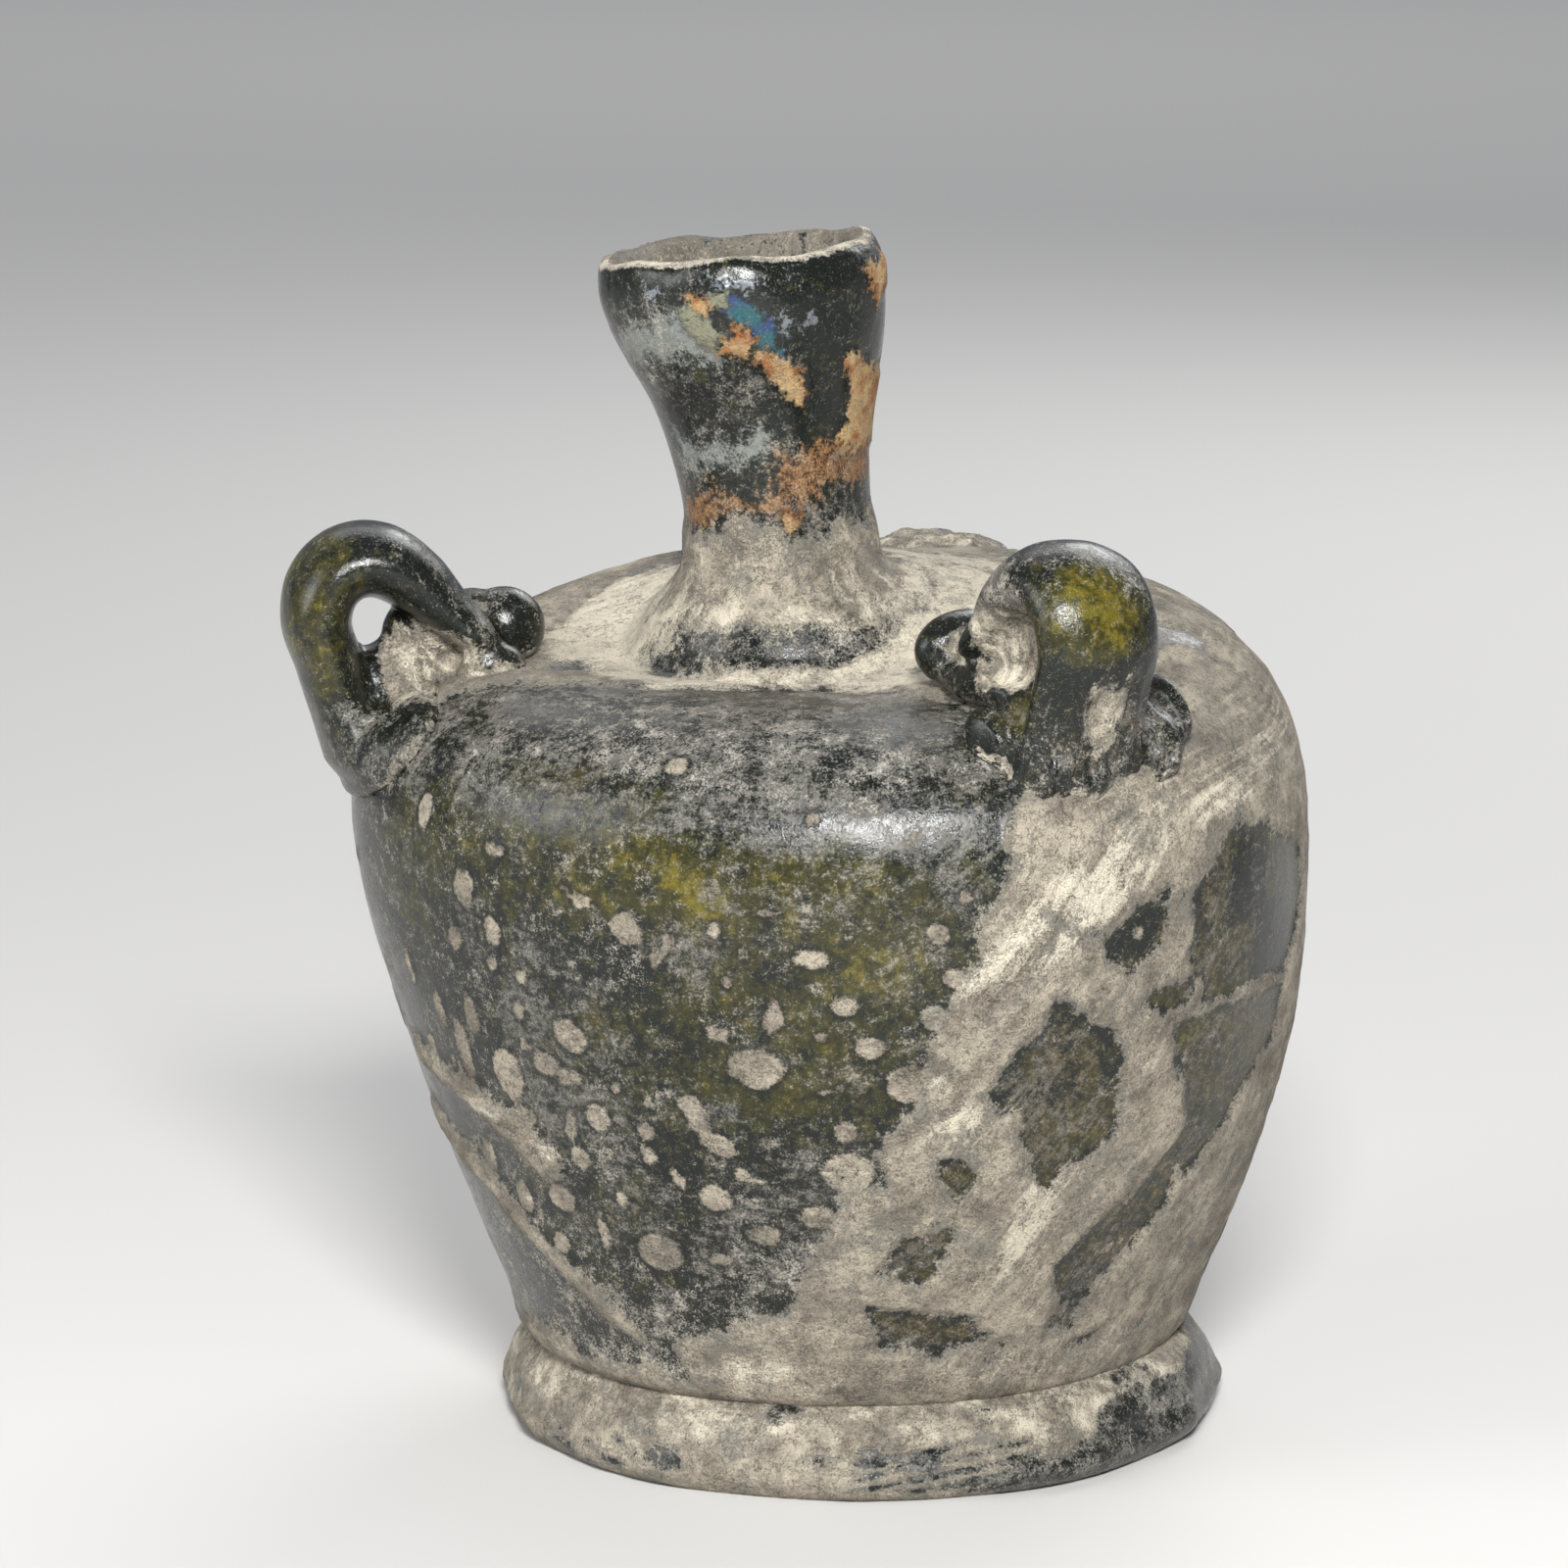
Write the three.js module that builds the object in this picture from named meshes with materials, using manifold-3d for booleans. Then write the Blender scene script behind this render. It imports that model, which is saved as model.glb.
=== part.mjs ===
import * as THREE from 'three';
import Module from 'manifold-3d';

// A small thick-walled glass bottle, hand made and long buried. A blown body with a leaning funnel
// neck stands on a foot ring that was added hot. Three trailed loop handles sat on its shoulder.
// The third one is broken off. Millimetres, Z up, standing on the foot ring.

const wasm = await Module();
wasm.setup();

// General
const AROUND = 40;
const FIT_GAP = 0.3;
const TURN = Math.PI * 2;

// Body
const BODY_BOTTOM_Z = 5.5;
const BODY_JOIN_Z = 6.6;
const BODY_JOIN_R = 24.7;
const BELLY_Z = 45.5;
const BELLY_R = 35.2;
const SIDE_POWER = 1.68;
const SIDE_STEPS = 9;
const PUSH_UP = 2.4;
const CORNER_ROUND = 1.6;

// Shoulder
const SHOULDER_TOP_Z = 57.1;
const SHOULDER_FLAT_R = 19.5;
const SHOULDER_POWER = 2.5;
const SHOULDER_STEPS = 7;
const HEAVE = 5;
const HEAVE_TURN = 60;
const TRIANGLE_SHARE = 0.028;
const TRIANGLE_START_Z = 12;
const TRIANGLE_FULL_Z = 48;

// Groove and low collar round the neck
const GROOVE_R = 12.3;
const GROOVE_Z = 56.6;
const COLLAR_R = 11.2;
const COLLAR_RISE = 2.8;
const COLLAR_TOP_R = 8.6;
const COLLAR_TOP_Z = 61.8;
const BACK_TOP_Z = 62.9;

// Neck and funnel mouth
const NECK_R = 7.4;
const NECK_LOW_Z = 64.2;
const NECK_HIGH_Z = 68;
const FUNNEL_Z = 76;
const FUNNEL_R = 8.75;
const MOUTH_R = 10.8;
const RIM_LOW_Z = 82;
const RIM_TOP_Z = 86.9;
const RIM_ROUND = 1.45;
const RIM_TILT = 0.095;
const RIM_WAVE = 0.2;

// Glass thickness
const SIDE_WALL = 2.7;
const SHOULDER_WALL = 2.9;
const BASE_WALL = 3.2;
const BORE_R = 4.7;
const BORE_LOW_Z = 59.5;
const BORE_HIGH_Z = 70;

// Lean of the bottle's axis, in the direction of X
const FOOT_LEAN = -0.55;
const BELLY_LEAN = -1.6;
const LEAN_START_Z = 27;
const NECK_LEAN = -5.5;
const MOUTH_LEAN = -9.1;

// Foot ring
const FOOT_R = 27.4;
const FOOT_EDGE_Z = 1.3;
const FOOT_TREAD_OUT_R = 25.9;
const FOOT_TREAD_IN_R = 20.6;
const FOOT_INNER_R = 18.9;
const FOOT_WAIST_R = 25;
const FOOT_WAIST_Z = 6.3;
const FOOT_LUMP = 0.28;

// Handles: directions from above, counterclockwise from X
const LEFT_TURN = 190;
const RIGHT_TURN = 304;
const BACK_TURN = 68;
const HANDLE_AXIS_X = -4;
const STRAP_WIDE = 9.4;
const STRAP_THICK = 5.6;
const TAIL_THICK = 2.3;
const ROOT_WIDE = 14;
const STRAP_AROUND = 14;
const STRAP_STEPS = 24;
const LUMP_AROUND = 13;
const LUMP_ROWS = 7;
const LUMP_UNEVEN = 0.07;
const ROOT_REACH = 32.2;
const HANDLE_REACH = 36.1;
const CREST_REACH = 31.9;
const LEFT_TAIL_REACH = 21.9;
const RIGHT_LIFT = 1.8;
const RIGHT_TAIL_REACH = 21.6;
const STUB_REACH = 27;

// Handles: heights above and below the top of the shoulder
const ROOT_DROP = 9.7;
const REACH_RISE = 3.3;
const CREST_RISE = 7.6;
const LEFT_TAIL_RISE = 0.1;
const RIGHT_TAIL_RISE = 1.7;
const STUB_RISE = 6.3;
const STUB_ROOT_DROP = 4.6;
const ROOT_Z = SHOULDER_TOP_Z - ROOT_DROP;
const HANDLE_REACH_Z = SHOULDER_TOP_Z + REACH_RISE;
const CREST_Z = SHOULDER_TOP_Z + CREST_RISE;
const LEFT_TAIL_Z = SHOULDER_TOP_Z + LEFT_TAIL_RISE;
const RIGHT_TAIL_Z = SHOULDER_TOP_Z + RIGHT_TAIL_RISE;
const STUB_TOP_Z = SHOULDER_TOP_Z + STUB_RISE;
const STUB_ROOT_Z = SHOULDER_TOP_Z - STUB_ROOT_DROP;

// Lumps of the handles: each group's places and sizes are shares of its own width
const PAD_WIDE = 20;
const LEFT_PAD = 1.5;
const LEFT_PAD_MIDDLE = 1.9;
const RIGHT_PAD = 1.5;
const RIGHT_PAD_MIDDLE = 2.6;
const BACK_PAD = 1.8;
const CURL_WIDE = 8;
const LOOP_SOIL_WIDE = 10;
const STUB_WIDE = 10;

function smooth(from, to, value) {
  const t = Math.min(1, Math.max(0, (value - from) / (to - from)));
  return t * t * (3 - 2 * t);
}

function mix(a, b, t) {
  return a + (b - a) * t;
}

// Sideways place of the axis at a point of the profile. The shoulder carries it over to the neck.
function leanAt(r, z) {
  const belly = mix(FOOT_LEAN, BELLY_LEAN, smooth(LEAN_START_Z, BELLY_Z + 3, z));
  if (z <= BELLY_Z) return belly;
  const inward = smooth(BELLY_R, GROOVE_R, r);
  const upward = smooth(BELLY_Z, SHOULDER_TOP_Z, z);
  const shoulder = mix(belly, NECK_LEAN, inward * upward);
  const rise = Math.max(0, (z - COLLAR_TOP_Z) / (RIM_TOP_Z - COLLAR_TOP_Z));
  return shoulder + (MOUTH_LEAN - NECK_LEAN) * Math.pow(rise, 1.2);
}

// How much of the shoulder's heave reaches a direction: it is high at the back right.
function heaveAt(a) {
  return smooth(0.1, 0.95, 0.5 + 0.5 * Math.cos(a - THREE.MathUtils.degToRad(HEAVE_TURN)));
}

// A profile point turned to one direction, with the unevenness of hand work.
function bodyPoint(r, z, a, heave = 0) {
  const cornered = smooth(TRIANGLE_START_Z, TRIANGLE_FULL_Z, z) * smooth(NECK_R, BELLY_R * 0.8, r);
  const corner = Math.cos(3 * (a - THREE.MathUtils.degToRad(LEFT_TURN)));
  const waver = 0.006 * Math.sin(2 * a + 0.05 * z) + 0.004 * Math.sin(5 * a + 0.11 * z);
  const rr = r * (1 + TRIANGLE_SHARE * cornered * corner + waver);
  const x = rr * Math.cos(a);
  const y = rr * Math.sin(a);
  const mouth = smooth(FUNNEL_Z - 3, RIM_TOP_Z - 2, z);
  const wave = RIM_WAVE * (Math.sin(3 * a + 1) + 0.6 * Math.sin(7 * a));
  const lift = heave * heaveAt(a) + mouth * (RIM_TILT * x + wave);
  return new THREE.Vector3(leanAt(r, z) + x, y, z + lift);
}

// Outer profile from under the middle of the base up to the crown of the rim.
function outerProfile() {
  const points = [[0, BODY_BOTTOM_Z + PUSH_UP]];
  for (const share of [0.3, 0.55, 0.76]) {
    const hollow = PUSH_UP * Math.pow(1 - share * share, 1.4);
    points.push([BODY_JOIN_R * share, BODY_BOTTOM_Z + hollow]);
  }
  points.push([BODY_JOIN_R - CORNER_ROUND, BODY_BOTTOM_Z + 0.1]);
  for (let i = 0; i <= SIDE_STEPS; i++) {
    const u = i / SIDE_STEPS;
    const swell = 1 - Math.pow(1 - u, SIDE_POWER);
    points.push([mix(BODY_JOIN_R, BELLY_R, swell), mix(BODY_JOIN_Z, BELLY_Z, u)]);
  }
  for (let i = 1; i <= SHOULDER_STEPS; i++) {
    const a = (i / SHOULDER_STEPS) * (Math.PI / 2);
    const out = Math.pow(Math.cos(a), 2 / SHOULDER_POWER);
    const up = Math.pow(Math.sin(a), 2 / SHOULDER_POWER);
    const r = mix(SHOULDER_FLAT_R, BELLY_R, i === SHOULDER_STEPS ? 0 : out);
    points.push([r, mix(BELLY_Z, SHOULDER_TOP_Z, up), HEAVE * Math.pow(up, 1.5)]);
  }
  const collar = [
    [GROOVE_R + 3, mix(GROOVE_Z, SHOULDER_TOP_Z, 0.7)],
    [GROOVE_R + 1, GROOVE_Z + 0.25],
    [GROOVE_R, GROOVE_Z],
    [COLLAR_R, GROOVE_Z + 0.9],
    [COLLAR_R - 1, GROOVE_Z + COLLAR_RISE],
    [COLLAR_TOP_R, COLLAR_TOP_Z],
    [NECK_R + 0.25, NECK_LOW_Z - 0.7],
  ];
  for (const [r, z] of collar) {
    const back = mix(BACK_TOP_Z + 0.9, SHOULDER_TOP_Z + HEAVE, smooth(NECK_R, SHOULDER_FLAT_R, r));
    points.push([r, z, Math.max(0, back - z)]);
  }
  points.push([NECK_R, NECK_LOW_Z + 1]);
  points.push([NECK_R, NECK_HIGH_Z]);
  points.push([NECK_R + 0.45, mix(NECK_HIGH_Z, FUNNEL_Z, 0.5)]);
  points.push([FUNNEL_R, FUNNEL_Z]);
  points.push([mix(FUNNEL_R, MOUTH_R, 0.5), mix(FUNNEL_Z, RIM_LOW_Z, 0.48)]);
  points.push([MOUTH_R - 0.25, RIM_LOW_Z]);
  const crown = RIM_TOP_Z - RIM_ROUND;
  const middle = MOUTH_R - RIM_ROUND;
  for (const turn of [0, 0.18, 0.36, 0.5]) {
    const a = turn * Math.PI;
    points.push([middle + RIM_ROUND * Math.cos(a), crown + RIM_ROUND * Math.sin(a)]);
  }
  return points;
}

// Inner profile from the inside of the rim down to the middle of the floor.
function innerProfile() {
  const middle = MOUTH_R - RIM_ROUND;
  const crown = RIM_TOP_Z - RIM_ROUND;
  const points = [];
  for (const turn of [0.68, 0.9]) {
    const a = turn * Math.PI;
    points.push([middle + RIM_ROUND * Math.cos(a), crown + RIM_ROUND * Math.sin(a)]);
  }
  points.push([mix(BORE_R, middle, 0.6), RIM_LOW_Z]);
  points.push([mix(BORE_R, middle, 0.3), mix(BORE_HIGH_Z, RIM_LOW_Z, 0.55)]);
  points.push([BORE_R + 0.1, BORE_HIGH_Z]);
  points.push([BORE_R, BORE_LOW_Z + 2]);
  points.push([BORE_R + 0.6, BORE_LOW_Z]);
  const roof = SHOULDER_TOP_Z - SHOULDER_WALL;
  points.push([BORE_R + 2.4, roof + 1.7, HEAVE * 0.5]);
  points.push([GROOVE_R - 1, GROOVE_Z - SHOULDER_WALL, HEAVE * 0.9]);
  points.push([SHOULDER_FLAT_R - 2, roof - 0.3, HEAVE]);
  for (let i = SHOULDER_STEPS - 1; i >= 1; i--) {
    if (i % 2 === 1) continue;
    const a = (i / SHOULDER_STEPS) * (Math.PI / 2);
    const out = Math.pow(Math.cos(a), 2 / SHOULDER_POWER);
    const up = Math.pow(Math.sin(a), 2 / SHOULDER_POWER);
    const r = mix(SHOULDER_FLAT_R, BELLY_R - SIDE_WALL, out);
    points.push([r, mix(BELLY_Z, roof, up), HEAVE * Math.pow(up, 1.5)]);
  }
  const floor = BODY_BOTTOM_Z + BASE_WALL;
  for (let i = SIDE_STEPS; i >= 1; i -= 1) {
    const u = i / SIDE_STEPS;
    if (i % 2 === 0) continue;
    const swell = 1 - Math.pow(1 - u, SIDE_POWER);
    points.push([mix(BODY_JOIN_R, BELLY_R, swell) - SIDE_WALL, mix(BODY_JOIN_Z, BELLY_Z, u)]);
  }
  points.push([BODY_JOIN_R * 0.78, floor + 0.1]);
  points.push([BODY_JOIN_R * 0.45, floor + PUSH_UP * 0.6]);
  points.push([0, floor + PUSH_UP]);
  return points;
}

// Joins rings of points into one closed skin. A ring of one point closes an end.
function skin(rings, loop = false) {
  const verts = [];
  const starts = [];
  for (const ring of rings) {
    starts.push(verts.length / 3);
    for (const p of ring) verts.push(p.x, p.y, p.z);
  }
  const tris = [];
  const last = loop ? rings.length : rings.length - 1;
  for (let i = 0; i < last; i++) {
    const k = (i + 1) % rings.length;
    const n = Math.max(rings[i].length, rings[k].length);
    for (let j = 0; j < n; j++) {
      const a = starts[i] + (j % rings[i].length);
      const b = starts[i] + ((j + 1) % rings[i].length);
      const c = starts[k] + ((j + 1) % rings[k].length);
      const d = starts[k] + (j % rings[k].length);
      if (a !== b) tris.push(a, b, c);
      if (c !== d) tris.push(a, c, d);
    }
  }
  return solid(verts, tris);
}

function solid(verts, tris) {
  return new wasm.Manifold(new wasm.Mesh({
    numProp: 3,
    vertProperties: new Float32Array(verts),
    triVerts: new Uint32Array(tris),
  }));
}

function turned(profile, pointAt) {
  const rings = [];
  for (const [r, z, heave] of profile) {
    if (r === 0) {
      rings.push([pointAt(0, z, 0)]);
      continue;
    }
    const ring = [];
    for (let j = 0; j < AROUND; j++) ring.push(pointAt(r, z, (j / AROUND) * TURN, heave));
    rings.push(ring);
  }
  return rings;
}

// The outer profile moved outward by a margin and closed over the mouth, without the hollow.
function grownBody(margin) {
  const outer = outerProfile();
  const grown = [];
  for (let i = 1; i < outer.length - 1; i++) {
    const before = outer[i - 1];
    const after = outer[i + 1];
    const dr = after[0] - before[0];
    const dz = after[1] - before[1];
    const long = Math.hypot(dr, dz);
    grown.push([outer[i][0] + (margin * dz) / long, outer[i][1] - (margin * dr) / long, outer[i][2]]);
  }
  const first = outer[0];
  const last = outer[outer.length - 1];
  const closed = [[0, first[1] - margin], ...grown, [0, last[1]]];
  return skin(turned(closed, bodyPoint));
}

function footPoint(r, z, a) {
  const edge = smooth(FOOT_TREAD_OUT_R - 1, FOOT_R, r);
  const lump = FOOT_LUMP * (Math.sin(5 * a + 0.6) + 0.7 * Math.sin(11 * a) + 0.5 * Math.sin(3 * a + 2));
  const rr = r + lump * edge;
  return new THREE.Vector3(rr * Math.cos(a), rr * Math.sin(a), z);
}

function footRing() {
  const loop = [
    [FOOT_TREAD_IN_R, 0],
    [FOOT_TREAD_OUT_R, 0],
    [FOOT_R - 0.4, FOOT_EDGE_Z * 0.35],
    [FOOT_R, FOOT_EDGE_Z],
    [mix(FOOT_R, FOOT_WAIST_R, 0.18), mix(FOOT_EDGE_Z, FOOT_WAIST_Z, 0.28)],
    [mix(FOOT_R, FOOT_WAIST_R, 0.62), mix(FOOT_EDGE_Z, FOOT_WAIST_Z, 0.62)],
    [FOOT_WAIST_R - 0.1, FOOT_WAIST_Z - 0.3],
    [FOOT_WAIST_R - 1, FOOT_WAIST_Z + 0.4],
    [FOOT_INNER_R, FOOT_WAIST_Z + 1.6],
    [FOOT_INNER_R, FOOT_WAIST_Z * 0.5],
    [FOOT_INNER_R + 0.5, FOOT_WAIST_Z * 0.2],
  ];
  return skin(turned(loop, footPoint), true);
}

// Turns a point given as reach from the axis, sideways place and height into a place in the part.
function placer(turn) {
  const a = THREE.MathUtils.degToRad(turn);
  return (reach, side, z) => new THREE.Vector3(
    HANDLE_AXIS_X + reach * Math.cos(a) - side * Math.sin(a),
    reach * Math.sin(a) + side * Math.cos(a),
    z,
  );
}

// A flattened trail of glass along a path of [reach, height] points.
function strap(place, path, wide, thick, sway) {
  const curve = new THREE.CatmullRomCurve3(path.map(([reach, z]) => new THREE.Vector3(reach, 0, z)));
  const rings = [];
  for (let i = 0; i <= STRAP_STEPS; i++) {
    const t = i / STRAP_STEPS;
    const p = curve.getPointAt(t);
    const d = curve.getTangentAt(t);
    const shift = sway * Math.sin(t * 2.6);
    if (i === 0 || i === STRAP_STEPS) {
      rings.push([place(p.x, shift, p.z)]);
      continue;
    }
    const blunt = Math.min(1, Math.sqrt(Math.sin(t * Math.PI) * 3));
    const ring = [];
    for (let j = 0; j < STRAP_AROUND; j++) {
      const a = (j / STRAP_AROUND) * TURN;
      const out = 0.5 * thick(t) * blunt * Math.cos(a);
      const side = 0.5 * wide(t) * blunt * Math.sin(a);
      ring.push(place(p.x + out * d.z, shift + side, p.z - out * d.x));
    }
    rings.push(ring);
  }
  return skin(rings);
}

// A lump of glass or soil: a rounded body with a gently uneven skin. Its place is counted from a
// point [reach, height], and its place and size are shares of a width, as [reach, side, height].
function lump(place, from, width, shift, shares, seed) {
  const [long, wide, tall] = shares.map((share) => share * width);
  const reach = from[0] + shift[0] * width;
  const side = shift[1] * width;
  const z = from[1] + shift[2] * width;
  const rings = [];
  for (let i = 0; i <= LUMP_ROWS; i++) {
    const lift = (i / LUMP_ROWS - 0.5) * Math.PI;
    if (i === 0 || i === LUMP_ROWS) {
      rings.push([place(reach, side, z + 0.5 * tall * Math.sin(lift))]);
      continue;
    }
    const ring = [];
    for (let j = 0; j < LUMP_AROUND; j++) {
      const a = (j / LUMP_AROUND) * TURN;
      const f = 1 + LUMP_UNEVEN * Math.sin(3 * a + seed) * Math.cos(2 * lift + seed);
      const flat = 0.5 * f * Math.cos(lift);
      ring.push(place(
        reach + flat * long * Math.cos(a),
        side + flat * wide * Math.sin(a),
        z + 0.5 * f * tall * Math.sin(lift),
      ));
    }
    rings.push(ring);
  }
  return skin(rings);
}

// A lump pressed flat on the body: it keeps only the layer of glass next to the body's skin.
function pad(thickness, ...shape) {
  return lump(...shape).intersect(grownBody(FIT_GAP + thickness));
}

function joined(parts) {
  return parts.slice(1).reduce((sum, one) => sum.add(one), parts[0]);
}

function strapWidth(t) {
  return mix(ROOT_WIDE, STRAP_WIDE, smooth(0.02, 0.26, t)) - 2 * smooth(0.66, 1, t);
}

function strapThickness(t) {
  const crest = STRAP_THICK * (0.86 + 0.14 * smooth(0.3, 0.5, t));
  return mix(crest, TAIL_THICK, smooth(0.52, 0.9, t));
}

// Centre line of a handle as [reach, height] from its root up over the crest and in to the tail.
function handlePath(lift, tailReach, tailZ) {
  return [
    [ROOT_REACH, ROOT_Z + lift],
    [ROOT_REACH + 1.6, ROOT_Z + 5 + lift],
    [HANDLE_REACH - 0.9, HANDLE_REACH_Z - 3.1 + lift],
    [HANDLE_REACH, HANDLE_REACH_Z + lift],
    [HANDLE_REACH - 0.7, CREST_Z - 1.6 + lift],
    [CREST_REACH + 2, CREST_Z - 0.3 + lift],
    [CREST_REACH, CREST_Z + lift],
    [CREST_REACH - 3.1, CREST_Z - 1.6 + lift],
    [mix(CREST_REACH, tailReach, 0.58), mix(CREST_Z + lift, tailZ, 0.56)],
    [mix(CREST_REACH, tailReach, 0.8), mix(CREST_Z + lift, tailZ, 0.8)],
    [tailReach, tailZ],
  ];
}

function leftHandle() {
  const place = placer(LEFT_TURN);
  const root = [ROOT_REACH, ROOT_Z];
  const crest = [CREST_REACH, CREST_Z];
  const tail = [LEFT_TAIL_REACH, LEFT_TAIL_Z];
  return joined([
    strap(place, handlePath(0, ...tail), strapWidth, strapThickness, 0.4),
    pad(LEFT_PAD, place, root, PAD_WIDE, [-0.17, 0.05, 0.345], [0.75, 0.95, 0.67], 1),
    pad(LEFT_PAD_MIDDLE, place, root, PAD_WIDE, [0, 0.02, 0.33], [0.45, 0.7, 0.48], 2),
    lump(place, tail, CURL_WIDE, [-0.15, -0.075, 0.175], [0.575, 1, 0.75], 3),
    lump(place, tail, CURL_WIDE, [0.2, -0.175, 0.175], [0.5, 0.55, 0.575], 8),
    lump(place, crest, LOOP_SOIL_WIDE, [-0.2, 0, -0.96], [0.95, 0.7, 0.8], 4),
  ]);
}

function rightHandle() {
  const place = placer(RIGHT_TURN);
  const root = [ROOT_REACH, ROOT_Z];
  const crest = [CREST_REACH, CREST_Z];
  const tail = [RIGHT_TAIL_REACH, RIGHT_TAIL_Z];
  return joined([
    strap(place, handlePath(RIGHT_LIFT, ...tail), strapWidth, strapThickness, -0.4),
    pad(RIGHT_PAD, place, root, PAD_WIDE, [-0.08, 0.12, 0.45], [0.7, 1, 0.6], 5),
    pad(RIGHT_PAD_MIDDLE, place, root, PAD_WIDE, [0, -0.02, 0.4], [0.5, 0.75, 0.5], 6),
    lump(place, tail, CURL_WIDE, [-0.175, -0.05, 0.15], [0.625, 1.025, 0.75], 7),
    lump(place, crest, LOOP_SOIL_WIDE, [-0.26, -0.02, -0.46], [1.1, 0.78, 1.3], 8),
  ]);
}

// The broken handle: its two roots still joined by a low ridge, snapped off with a rough face.
function backStub() {
  const place = placer(BACK_TURN);
  const top = [STUB_REACH, STUB_TOP_Z];
  const root = [STUB_REACH, STUB_ROOT_Z];
  const whole = joined([
    lump(place, top, STUB_WIDE, [-0.1, 0.04, -0.28], [1.1, 1, 0.66], 9),
    lump(place, root, STUB_WIDE, [0.4, -0.04, 0.48], [1, 1.4, 1.1], 10),
    pad(BACK_PAD, place, root, PAD_WIDE, [0.13, 0, 0.22], [0.75, 0.9, 0.68], 13),
    lump(place, top, STUB_WIDE, [-0.6, 0.08, -0.24], [0.8, 0.8, 0.44], 11),
  ]);
  const snapped = lump(place, top, STUB_WIDE, [0.54, 0.05, 0.22], [1.8, 2, 0.7], 12);
  return whole.subtract(snapped);
}

function mesh(name, shape, color) {
  const data = shape.getMesh();
  const geometry = new THREE.BufferGeometry();
  const places = new Float32Array(data.numVert * 3);
  for (let i = 0; i < data.numVert; i++) {
    for (let k = 0; k < 3; k++) places[3 * i + k] = data.vertProperties[data.numProp * i + k];
  }
  geometry.setAttribute('position', new THREE.BufferAttribute(places, 3));
  geometry.setIndex(new THREE.BufferAttribute(new Uint32Array(data.triVerts), 1));
  geometry.computeVertexNormals();
  const made = new THREE.Mesh(geometry, new THREE.MeshStandardMaterial({ color, roughness: 0.6 }));
  made.name = name;
  return made;
}

const clearance = grownBody(FIT_GAP);
const group = new THREE.Group();
group.name = 'bottle';
group.add(mesh('vessel', skin(turned([...outerProfile(), ...innerProfile()], bodyPoint)), 0x56563c));
group.add(mesh('foot_ring', footRing().subtract(clearance), 0x8f8468));
group.add(mesh('handle_left', leftHandle().subtract(clearance), 0x6b6440));
group.add(mesh('handle_right', rightHandle().subtract(clearance), 0x6b6440));
group.add(mesh('handle_back_stub', backStub().subtract(clearance), 0x7d7458));

// The origin is under the middle of the whole part's box.
const bounds = new THREE.Box3().setFromObject(group);
const shift = bounds.getCenter(new THREE.Vector3());
for (const piece of group.children) piece.geometry.translate(-shift.x, -shift.y, -bounds.min.z);

export default group;
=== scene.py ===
import math
from types import SimpleNamespace

import bpy
import numpy as np
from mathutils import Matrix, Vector
from mathutils.kdtree import KDTree


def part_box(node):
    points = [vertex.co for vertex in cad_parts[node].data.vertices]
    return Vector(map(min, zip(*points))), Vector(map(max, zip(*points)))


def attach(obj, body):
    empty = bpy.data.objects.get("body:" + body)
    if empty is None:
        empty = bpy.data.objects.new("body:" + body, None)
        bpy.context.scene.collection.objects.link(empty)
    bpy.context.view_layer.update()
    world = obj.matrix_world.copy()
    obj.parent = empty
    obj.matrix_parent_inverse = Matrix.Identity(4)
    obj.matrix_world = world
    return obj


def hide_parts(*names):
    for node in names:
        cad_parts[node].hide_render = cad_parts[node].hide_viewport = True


# A small weathered bottle of thick olive glass, caked with soil. Every shape is worked out in
# millimetres from the middle of the foot ring, with Z up and the front towards -Y, and becomes
# metres in the row frame when its mesh is made. Turns are degrees from the front, right positive.

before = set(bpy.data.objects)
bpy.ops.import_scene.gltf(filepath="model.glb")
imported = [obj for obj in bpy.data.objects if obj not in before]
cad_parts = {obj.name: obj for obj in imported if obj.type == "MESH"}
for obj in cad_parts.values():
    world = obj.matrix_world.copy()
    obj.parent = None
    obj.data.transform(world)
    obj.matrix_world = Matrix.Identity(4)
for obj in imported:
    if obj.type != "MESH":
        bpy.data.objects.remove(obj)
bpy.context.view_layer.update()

MM = 0.001

# Body profile
JOIN_R, JOIN_Z = 24.7, 6.6
BELLY_R, BELLY_Z = 35.2, 45.5
SIDE_POWER = 1.68
BASE_Z, PUSH_UP = 5.5, 2.4
SHOULDER_R, SHOULDER_Z = 19.5, 57.1
SHOULDER_POWER = 2.5
HEAVE, HEAVE_TURN = 5, 60
TRIANGLE_SHARE = 0.028
LEFT_TURN, RIGHT_TURN, BACK_TURN = 190, 304, 68

# Groove, collar, neck and rim
GROOVE_R, GROOVE_Z = 12.3, 56.6
COLLAR_R, COLLAR_TOP_R, COLLAR_TOP_Z = 11.2, 8.6, 61.8
BACK_TOP_Z = 62.9
NECK_R, NECK_LOW_Z, NECK_HIGH_Z = 7.4, 64.2, 68
FUNNEL_R, FUNNEL_Z = 8.75, 76
MOUTH_R, RIM_LOW_Z, RIM_TOP_Z, RIM_ROUND = 10.8, 82, 86.9, 1.45
RIM_TILT, RIM_WAVE = 0.095, 0.2

# Glass thickness
SIDE_WALL, SHOULDER_WALL, BASE_WALL = 2.7, 2.9, 3.2
BORE_R, BORE_LOW_Z, BORE_HIGH_Z = 4.7, 59.5, 70

# Sideways lean of the axis
FOOT_LEAN, BELLY_LEAN, NECK_LEAN, MOUTH_LEAN = -0.55, -1.6, -5.5, -9.1
LEAN_START_Z = 27

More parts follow.
